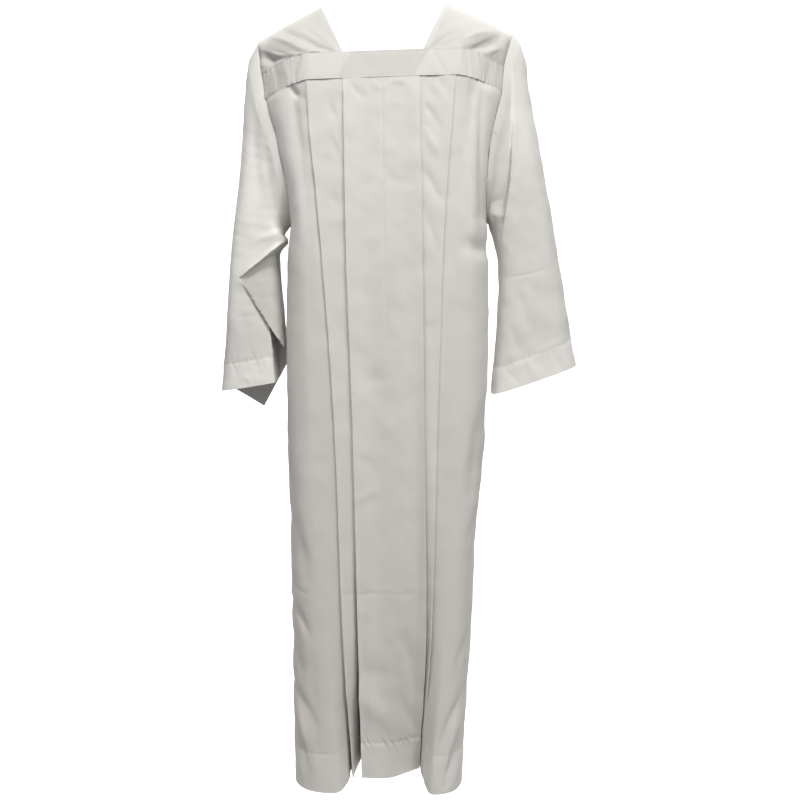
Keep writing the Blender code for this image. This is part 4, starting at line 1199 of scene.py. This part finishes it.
def right_folds(grid):
    """The right sleeve with its front lapped over the cloth beside the armhole."""
    x, z = grid[..., 0], grid[..., 2]
    front = np.broadcast_to(IN_FRONT & (PLACES > 0.02), x.shape)
    past = glide(OVERLAP[:, 0], OVERLAP[:, 1:], z.reshape(-1)).reshape(z.shape + (2,))
    left, step = past[..., 0] - x, past[..., 1] * (z > OVERLAP[-1, 0])
    soft = 0.05 + 3.6 * smooth(z, -300.0, -170.0)        # the fold is round near the shoulder
    lapped = front * smooth(left, -soft, soft)
    grid = snapped(grid, left, 1, front & (step > 0.6) & (z < -255.0))
    x, y, z = grid[..., 0], grid[..., 1], grid[..., 2]
    edge_on = smooth(np.sin(math.pi * PLACES), 0.0, 0.3)[None, :]
    edge_on = edge_on * smooth(lengths(grid, 0), 2.0, 16.0)
    depth = step * (lapped * np.exp(-np.maximum(left, 0.0) / 13.0)
                    - 0.16 * (1.0 - lapped) * np.exp(np.minimum(left, 0.0) / 9.0) * front)
    return np.stack([x, y + depth * edge_on, z], -1)


print("tuck lip, mm:", round(float(np.linalg.norm(TUCK_IN - TUCK_OUT))))

# %% Creases of the sleeves
SLEEVE_CREASES = {
    ("left", "front"): [
        (-226, -200, -214, -330, 9, 3, -1.8), (-240, -180, -238, -400, 11, 2, 0.9),
        (-205, -250, -192, -350, 8, 2, -1), (-222, -405, -180, -392, 8, 2, 2.6),
        (-214, -430, -188, -412, 5, 0, -1.4), (-276, -546, -214, -541, 2.6, 0, -0.5),
        (-262, -500, -240, -600, 10, 0, -0.9), (-250, -646, -236, -668, 5, 0, 1),
        (-236, -600, -226, -640, 6, 1, -0.9), (-266, -626, -262, -660, 5, 0, -0.8),
        (-230, -500, -190, -560, 11, 3, -0.8), (-228, -470, -200, -520, 9, -2, 0.7),
    ],
    ("right", "front"): [
        (226, -480, 290, -466, 2.6, 1, -0.8), (240, -500, 272, -580, 10, 4, -1.6),
        (262, -520, 256, -570, 9, 0, 1.5), (286, -500, 300, -560, 9, -3, -1.3),
        (228, -570, 246, -616, 8, 2, -1.5), (278, -612, 310, -598, 7, 0, 1.6),
        (300, -606, 322, -642, 7, 2, -1.6), (252, -618, 268, -652, 7, 0, 1.4),
        (216, -640, 240, -664, 7, 2, -1.2), (248, -130, 262, -330, 14, 4, 1),
        (236, -300, 230, -470, 12, 0, 0.9), (208, -345, 184, -352, 5, 1, -1.6),
        (206, -372, 186, -366, 8, 0, 5), (300, -380, 306, -470, 10, 0, -1),
    ],
    ("left", "back"): [
        (-232, -200, -210, -380, 12, 3, -2), (-262, -440, -196, -400, 8, 3, -2.6),
        (-268, -462, -200, -430, 8, 2, 1.8), (-276, -548, -204, -545, 2.6, 0, -0.6),
        (-246, -560, -226, -640, 10, 0, -1.4), (-214, -600, -200, -650, 8, 2, 1.2),
    ],
    ("right", "back"): [
        (230, -180, 226, -380, 12, -3, -2.2), (228, -478, 296, -468, 2.6, 1, -0.7),
        (276, -420, 250, -520, 13, 4, -1.6), (300, -540, 276, -620, 9, 0, 1.4),
        (236, -560, 256, -640, 9, 2, -1.4), (316, -570, 300, -620, 8, 0, -1.2),
    ],
}


def sleeve_wear(side, grid):
    """Creases and puckers of a sleeve, then its overlapping folds."""
    x, y, z = grid[..., 0], grid[..., 1], grid[..., 2]
    seed = 61 if side == "left" else 71
    from_seam = lengths(grid, 0)
    from_cuff = from_seam[-1:] - from_seam
    turn = lengths(np.append(grid, grid[:, :1], 1), 1)[:, :-1]
    edge_on = smooth(np.abs(np.sin(math.pi * PLACES)), 0.0, 0.4)[None, :]
    rise = edge_on * np.where(IN_FRONT[None, :], creases(SLEEVE_CREASES[(side, "front")], x, z),
                              creases(SLEEVE_CREASES[(side, "back")], x, z))
    rise += 0.42 * uneven(x, z + 0.6 * y, 55.0, seed) + 0.24 * uneven(x, z - 0.4 * y, 24.0, seed + 1)
    rise += puckers("sleeve_head", from_seam, turn, seed + 2)
    rise -= SEAM_SINK * dent(from_seam, SEAM_WIDE)
    line = from_cuff - CUFF_DEEP
    rise += puckers("cuff", np.abs(line), turn + 0.4 * line, seed + 3)
    rise += 0.4 * smooth(-line, -1.5, 2.5) - 0.6 * dent(line, 2.2)
    out = facing(grid, True)
    centre = grid.mean(1, keepdims=True)
    if np.mean(np.sum(out[20:] * (grid - centre)[20:], -1)) < 0.0:
        out = -out
    worn = grid + out * rise[..., None]
    return left_folds(worn) if side == "left" else right_folds(worn)


def sleeve_cloth_and_painted_light(side, grid):
    """Cloth behind a sleeve's points, most along the cuff, with painted light and shade on the left
    one.
    """
    x, z = grid[..., 0], grid[..., 2]
    down = lengths(grid, 0)
    # the left sleeve is painted lighter than the right: painted light
    behind = np.full_like(x, 0.64 if side == "right" else 1.0)
    if side == "left":
        lip = -past_line(x, z, TUCK_OUT, TUCK_IN)
        flap = smooth(past_line(x, z, TUCK_OUT, FLAP_LOW), -0.5, 0.5) * smooth(lip, 0.0, 1.5)
        # painted shade on the front below the tuck's lip, darkest on the flap
        tuck_shade = 0.5 * smooth(lip, -20.0, 80.0) * (1.0 - flap) + 0.7 * flap
        behind = behind - IN_FRONT[None, :] * tuck_shade
    return np.maximum(behind, (0.85 if side == "left" else 1.0)
                      * (1.0 - smooth(down[-1:] - down, CUFF_DEEP - 1.0, CUFF_DEEP + 1.0)))


sleeve_cloth = {side: sleeve_wear(side, sleeve_base(side)) for side in ("left", "right")}
sleeves = {}
for side, grid in sleeve_cloth.items():
    behind = sleeve_cloth_and_painted_light(side, grid)
    if side == "right":
        grid, behind = grid[:, ::-1], behind[:, ::-1]
    sleeves[side] = shell("cloth_sleeve_" + side, grid, loop=True, behind_and_painted_light=behind)

# %% [markdown]
# ## Stitches
# The seams that show are top-stitched: both edges of the bands, the hems, the cuffs and the
# neck's narrow hem. A stitch repeats along a line, so Geometry Nodes lays it: a curve is cut into
# steps of one stitch, a small capsule is set on every step and turned along the curve, and the
# length varies a little, as thread does when it sinks in.

# %% Lines to stitch
LINE_LIFT = 0.3                         # the stitches lie just off the cloth's middle


def outward(cloth, loop=False):
    """Sign that turns a cloth's facing away from the long axis of the robe or the sleeve."""
    axis = cloth.mean((0, 1)) if loop else 0.0
    return float(np.sign(np.sum((facing(cloth, loop) * (cloth - axis))[..., :2])))


def line_on(cloth, distance, from_end=False, loop=False):
    """A line on a cloth's outer side, at a distance from its first or last row."""
    p = leaned(cloth)
    lifted = p + facing(p, loop) * outward(p, loop) * LINE_LIFT
    long = lengths(p, 0)
    if from_end:
        long = long[-1:] - long
    points = []
    for c in range(p.shape[1]):
        order = np.argsort(long[:, c])
        points.append([np.interp(distance, long[order, c], lifted[order, c, k]) for k in range(3)])
    return np.array(points) * MM


seam_lines = {
    # each line with whether it closes on itself
    "body": [(line_on(cloth, HEM_DEEP, True), False) for cloth in (front_cloth, back_cloth)],
    "sleeves": [(line_on(cloth, CUFF_DEEP, True, loop=True), True)
                for cloth in sleeve_cloth.values()],
    "bands": [(line_on(cloth, EDGE_STITCH, from_end), False)
              for cloth in (band_front_cloth, band_back_cloth) for from_end in (False, True)],
    "neck": [(line_on(np.swapaxes(cloth, 0, 1), NECK_HEM, side == "right"), False)
             for side, cloth in yoke_cloth.items()],
}
print("stitched lines:", {name: len(rows) for name, rows in seam_lines.items()})

# %% [markdown]
# ## Building node trees
# Stitches, cloth, backdrop and room are all node trees. Wiring one by hand takes a line for every
# link, so four small helpers do it: a node is made with its settings and whatever feeds its
# inputs, a math node gives its result straight away, and a group is made with its sockets.

# %% Helpers for node trees
def fill(tree, node, inputs):
    """Feed a node's inputs from sockets of other nodes, or set them to values."""
    for name, value in inputs.items():
        if isinstance(value, bpy.types.NodeSocket):
            tree.links.new(value, node.inputs[name])
        else:
            node.inputs[name].default_value = value


def add_node(tree, kind, inputs=None, **settings):
    """The outputs of a new node with these settings and inputs."""
    node = tree.nodes.new(kind)
    for name, value in settings.items():
        setattr(node, name, value)
    fill(tree, node, inputs or {})
    return node.outputs


def maths(tree, operation, *values, clamp=False):
    """What a math node makes of these values."""
    inputs = dict(enumerate(values))
    return add_node(tree, "ShaderNodeMath", inputs, operation=operation, use_clamp=clamp)[0]


def new_group(name, kind, given, made):
    """A node group, the sockets that it is given and the output node that it fills."""
    group = bpy.data.node_groups.new(name, kind)
    for label, form, value in given:
        socket = group.interface.new_socket(label, in_out="INPUT", socket_type="NodeSocket" + form)
        if value is not None:
            socket.default_value = value
    group.interface.new_socket(made[0], in_out="OUTPUT", socket_type="NodeSocket" + made[1])
    return group, group.nodes.new("NodeGroupInput").outputs, group.nodes.new("NodeGroupOutput")


print("tree helpers:", *(helper.__name__ for helper in (fill, add_node, maths, new_group)))

# %% Stitch tree
STITCH_STEP, STITCH_LONG, STITCH_THICK = 3.2, 2.4, 0.34     # mm
STITCH_LEAST, STITCH_MOST = 0.85, 1.1                       # shares of the full length


def stitch_tree():
    """Geometry Nodes that lay stitches along curves."""
    tree, given, made = new_group("lay_stitches", "GeometryNodeTree", [
        ("Geometry", "Geometry", None), ("Step", "Float", STITCH_STEP * MM),
        ("Long", "Float", STITCH_LONG * MM), ("Thick", "Float", STITCH_THICK * MM),
        ("Thread", "Material", None), ("Seed", "Int", None)], ("Geometry", "Geometry"))
    steps = add_node(tree, "GeometryNodeResampleCurve",
                     {"Curve": given["Geometry"], "Length": given["Step"]}, mode="LENGTH")
    capsule = add_node(tree, "GeometryNodeMeshUVSphere", {"Segments": 6, "Rings": 4, "Radius": 0.5})
    tangent = add_node(tree, "GeometryNodeInputTangent")
    turn = add_node(tree, "FunctionNodeAlignRotationToVector",
                    {"Vector": tangent["Tangent"]}, axis="Z")
    share = add_node(tree, "FunctionNodeRandomValue",
                     {2: STITCH_LEAST, 3: STITCH_MOST, "Seed": given["Seed"]}, data_type="FLOAT")[1]
    size = add_node(tree, "ShaderNodeCombineXYZ", {
        "X": given["Thick"], "Y": given["Thick"], "Z": maths(tree, "MULTIPLY", share, given["Long"])})
    laid = add_node(tree, "GeometryNodeInstanceOnPoints", {
        "Points": steps["Curve"], "Instance": capsule["Mesh"],
        "Rotation": turn["Rotation"], "Scale": size["Vector"]})
    whole = add_node(tree, "GeometryNodeRealizeInstances", {"Geometry": laid["Instances"]})
    white = add_node(tree, "GeometryNodeSetMaterial",
                     {"Geometry": whole["Geometry"], "Material": given["Thread"]})
    fill(tree, made, {"Geometry": white["Geometry"]})
    return tree


STITCHES = stitch_tree()
print("stitch tree nodes:", len(STITCHES.nodes))

# %% [markdown]
# ## White cotton
# The cloth is a smooth poly-cotton in plain weave. Close up there are crossing threads, a few of
# them thicker than others, and from a step away only a soft, even white with a faint sheen. Two
# node groups do this: one gives the height of the weave on the UV map, and one the colour, which
# falls a little where less cloth lies behind and also carries painted light and shade.

# %% Node groups for the cloth
THREADS = 2600.0                        # threads in a metre
SLUB_SHORT, SLUB_LONG = 1600.0, 60.0    # how often thick threads change, across and along them


def weave_group():
    """Height of a plain weave on the UV map, 0 to 1, with uneven threads."""
    group, given, made = new_group("plain_weave", "ShaderNodeTree", [
        ("Cloth", "Vector", None), ("Threads per metre", "Float", THREADS),
        ("Slub", "Float", 0.5)], ("Height", "Float"))
    parts = add_node(group, "ShaderNodeSeparateXYZ", {"Vector": given["Cloth"]})
    waves = []
    for axis in ("X", "Y"):
        count = maths(group, "MULTIPLY", parts[axis], given["Threads per metre"])
        waves.append(maths(group, "SINE", maths(group, "MULTIPLY", count, math.pi)))
    height = maths(group, "MULTIPLY", *waves)
    for stretch in ((SLUB_SHORT, SLUB_LONG, 1.0), (SLUB_LONG, SLUB_SHORT, 1.0)):
        lie = add_node(group, "ShaderNodeMapping", {"Vector": given["Cloth"], "Scale": stretch})
        slub = add_node(group, "ShaderNodeTexNoise",
                        {"Vector": lie["Vector"], "Scale": 1.0, "Detail": 1.0})
        thick = maths(group, "MULTIPLY", slub["Fac"], given["Slub"])
        height = maths(group, "ADD", height, thick)
    fill(group, made, {"Height": height})
    return group


def tone_group():
    """Colour of white cloth by how much cloth lies behind it, and by painted light and shade."""
    group, given, made = new_group("white_by_backing", "ShaderNodeTree", [
        ("Thin", "Color", (0.70, 0.71, 0.68, 1.0)), ("Doubled", "Color", (0.80, 0.80, 0.77, 1.0)),
        ("Cloth", "Vector", None)], ("Colour", "Color"))
    behind = add_node(group, "ShaderNodeAttribute", attribute_name="behind_and_painted_light")
    cloud = add_node(group, "ShaderNodeTexNoise",
                     {"Vector": given["Cloth"], "Scale": 9.0, "Detail": 2.0})
    wash = maths(group, "MULTIPLY_ADD", cloud["Fac"], 0.16, -0.08)     # faint cloudy unevenness
    share = maths(group, "ADD", behind["Fac"], wash, clamp=True)
    mix = add_node(group, "ShaderNodeMix", {
        "Factor": share, 6: given["Thin"], 7: given["Doubled"]}, data_type="RGBA")
    fill(group, made, {"Colour": mix[2]})
    return group


WEAVE, TONE = weave_group(), tone_group()
print("cloth groups:", WEAVE.name, TONE.name)

# %% Cotton and thread
COTTON_ROUGH, COTTON_SHEEN = 0.72, 0.12
WEAVE_DEEP = 0.00008                    # metres from the top of a thread to the gap beside it


def new_material(name):
    """A material and its node tree."""
    material = bpy.data.materials.new(name)
    material.use_nodes = True
    return material, material.node_tree


def cotton(name, thin, doubled_up, bump):
    """White poly-cotton, with its weave read from the UV map."""
    material, tree = new_material(name)
    cloth = add_node(tree, "ShaderNodeUVMap", uv_map="cloth")["UV"]
    weave = add_node(tree, "ShaderNodeGroup", {"Cloth": cloth}, node_tree=WEAVE)
    relief = add_node(tree, "ShaderNodeBump", {
        "Strength": bump, "Distance": WEAVE_DEEP, "Height": weave["Height"]})
    tone = add_node(tree, "ShaderNodeGroup", {
        "Thin": (*thin, 1.0), "Doubled": (*doubled_up, 1.0), "Cloth": cloth}, node_tree=TONE)
    fill(tree, tree.nodes["Principled BSDF"], {
        "Base Color": tone["Colour"], "Normal": relief["Normal"], "Roughness": COTTON_ROUGH,
        "Sheen Weight": COTTON_SHEEN, "Sheen Roughness": 0.5, "Specular IOR Level": 0.3})
    return material


# the same white cotton in three copies with different colours, as painted light and shade: the yokes
# and bands are painted a little darker against the bright top light, and the sleeves get a wider
# range for the painted light on the left sleeve and the painted shade of its tuck
body_cotton = cotton("body_cotton", (0.67, 0.636, 0.606), (0.80, 0.785, 0.755), 0.5)
sleeve_cotton_painted_light = cotton("sleeve_cotton_painted_light", (0.58, 0.57, 0.545), (0.90, 0.885, 0.85), 0.35)
yoke_cotton_painted_shade = cotton("yoke_cotton_painted_shade", (0.62, 0.61, 0.58), (0.78, 0.77, 0.74), 0.5)
thread_white, thread_tree = new_material("thread_white")
fill(thread_tree, thread_tree.nodes["Principled BSDF"],
     {"Base Color": (0.82, 0.82, 0.79, 1.0), "Roughness": 0.5})

for pieces, material in (((front_panel, back_panel), body_cotton),
                         ((band_front, band_back, *yokes.values()), yoke_cotton_painted_shade),
                         (sleeves.values(), sleeve_cotton_painted_light)):
    for piece in pieces:
        piece.data.materials.append(material)
print("materials:", [m.name for m in bpy.data.materials])

# %% Lay the stitches
def stitched(name, lines, seed):
    """One mesh of all the stitches along some lines."""
    curve = bpy.data.curves.new(name + "_path", "CURVE")
    curve.dimensions = "3D"
    for points, closed in lines:
        spline = curve.splines.new("POLY")
        spline.points.add(len(points) - 1)
        spline.points.foreach_set("co", np.column_stack([points, np.ones(len(points))]).reshape(-1))
        spline.use_cyclic_u = closed
    path = placed(name + "_path", curve)
    modifier = path.modifiers.new("stitches", "NODES")
    modifier.node_group = STITCHES
    socket = {item.name: item.identifier for item in STITCHES.interface.items_tree
              if item.item_type == "SOCKET" and item.in_out == "INPUT"}
    for label, value in (("Step", STITCH_STEP * MM), ("Long", STITCH_LONG * MM),
                         ("Thick", STITCH_THICK * MM), ("Thread", thread_white), ("Seed", seed)):
        modifier[socket[label]] = value
    graph = bpy.context.evaluated_depsgraph_get()
    mesh = bpy.data.meshes.new_from_object(path.evaluated_get(graph))
    mesh.name = name
    path.modifiers.remove(modifier)
    bpy.data.objects.remove(path, do_unlink=True)
    mesh.shade_smooth()
    print(name, len(mesh.polygons), "faces")
    return placed(name, mesh)


stitches = {name: stitched("stitches_" + name, lines, seed)
            for seed, (name, lines) in enumerate(seam_lines.items(), start=5)}

# %% [markdown]
# ## Stage and light
# The robe hangs in front of a pale sweep, which is floor and backdrop in one. White cloth on
# white needs soft light that still comes from somewhere, or its folds vanish. So two large lamps
# stand high in front, the right one stronger, and a small one above brightens the shoulders. Two
# weaker ones stand behind for the back, and the room itself gives a weak, even fill. The sweep
# and the room are bright for the camera only, so they don't wash out the shadows.

# %% Floor and backdrop
FLOOR_Z, BACK_Y, SWEEP = -2.05, 2.6, 1.2     # the sweep's bend has the radius SWEEP
SWEEP_NEAR, SWEEP_TOP, SWEEP_HALF, BEND_STEPS = -2.0, 5.0, 3.0, 16


def sweep():
    """A pale floor that curves up into a backdrop."""
    bend_y = BACK_Y - SWEEP
    profile = [(SWEEP_NEAR, FLOOR_Z), (bend_y, FLOOR_Z)]
    for i in range(1, BEND_STEPS + 1):
        angle = math.pi / 2.0 * i / BEND_STEPS
        profile.append((bend_y + SWEEP * math.sin(angle), FLOOR_Z + SWEEP * (1.0 - math.cos(angle))))
    profile.append((BACK_Y, SWEEP_TOP))
    verts = [(x, y, z) for y, z in profile for x in (-SWEEP_HALF, SWEEP_HALF)]
    faces = [(2 * i, 2 * i + 1, 2 * i + 3, 2 * i + 2) for i in range(len(profile) - 1)]
    mesh = bpy.data.meshes.new("sweep")
    mesh.from_pydata(verts, [], faces)
    mesh.shade_smooth()
    paper, tree = new_material("paper")
    seen = add_node(tree, "ShaderNodeLightPath")["Is Camera Ray"]
    fill(tree, tree.nodes["Principled BSDF"], {
        "Base Color": (0.8, 0.8, 0.8, 1.0), "Roughness": 0.9, "Specular IOR Level": 0.0,
        "Emission Color": (1.0, 1.0, 1.0, 1.0), "Emission Strength": seen})
    mesh.materials.append(paper)
    return placed("sweep", mesh)


floor = sweep()
print("floor at", FLOOR_Z)

# %% Lights
WHITE, WARM = (1.0, 1.0, 1.0), (1.0, 0.985, 0.955)
LAMPS = [
    # name, place, height aimed at on the robe's middle, size, watts, colour
    ("top_light", (0.1, -1.5, 2.0), -0.5, (0.9, 0.6), 50.0, WARM),
    ("right_light", (2.6, -4.2, 3.6), -0.6, (1.6, 1.2), 112.0, WARM),
    ("left_light", (-2.6, -4.2, 3.6), -0.6, (1.6, 1.2), 48.0, WHITE),
    ("back_light_a", (1.6, 2.2, 2.4), -0.6, (1.2, 1.0), 60.0, WHITE),
    ("back_light_b", (-1.6, 2.2, 1.6), -0.8, (1.2, 1.0), 32.0, WHITE),
]
ROOM_FILL = 0.16

for name, place, aim_z, size, watts, colour in LAMPS:
    data = bpy.data.lights.new(name, "AREA")
    data.shape = "RECTANGLE"
    data.size, data.size_y = size
    data.energy = watts
    data.color = colour
    lamp = placed(name, data)
    lamp.location = place
    x, y, z = np.array([0.0, 0.0, aim_z]) - place
    tip, yaw = math.atan2(math.hypot(x, y), -z), math.atan2(x, -y)
    lamp.rotation_euler = (tip, 0.0, yaw + math.pi)

world = bpy.data.worlds.new("room")
world.use_nodes = True
room = world.node_tree
seen = add_node(room, "ShaderNodeLightPath")["Is Camera Ray"]
bright = add_node(room, "ShaderNodeMapRange", {"Value": seen, "To Min": ROOM_FILL, "To Max": 1.0})
fill(room, room.nodes["Background"],
     {"Color": (1.0, 1.0, 1.0, 1.0), "Strength": bright["Result"]})
bpy.context.scene.world = world
bpy.context.scene.view_settings.view_transform = "Standard"

# %% [markdown]
# ## Put each piece in place of its solid
# Every piece of cloth stands for the solid of the same name: it goes on the same body, and the
# solid is hidden but stays behind for the physics. The table also gives the size each piece was
# cut to. The stitches ride along with it.


CUTS = {
    # node: the piece that stands for it, and its flat width and length in metres
    "front_panel": (front_panel, (0.90, 1.31)),
    "back_panel": (back_panel, (0.83, 1.33)),
    "band_front": (band_front, (0.48, 0.05)),
    "band_back": (band_back, (0.48, 0.05)),
    "yoke_left": (yokes["left"], (0.17, 0.26)),
    "yoke_right": (yokes["right"], (0.17, 0.26)),
    "sleeve_left": (sleeves["left"], (0.66, 0.65)),
    "sleeve_right": (sleeves["right"], (0.66, 0.65)),
}
for node, (piece, flat) in CUTS.items():
    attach(piece, "root")
    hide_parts(node)

for name, piece in stitches.items():
    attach(piece, "root")
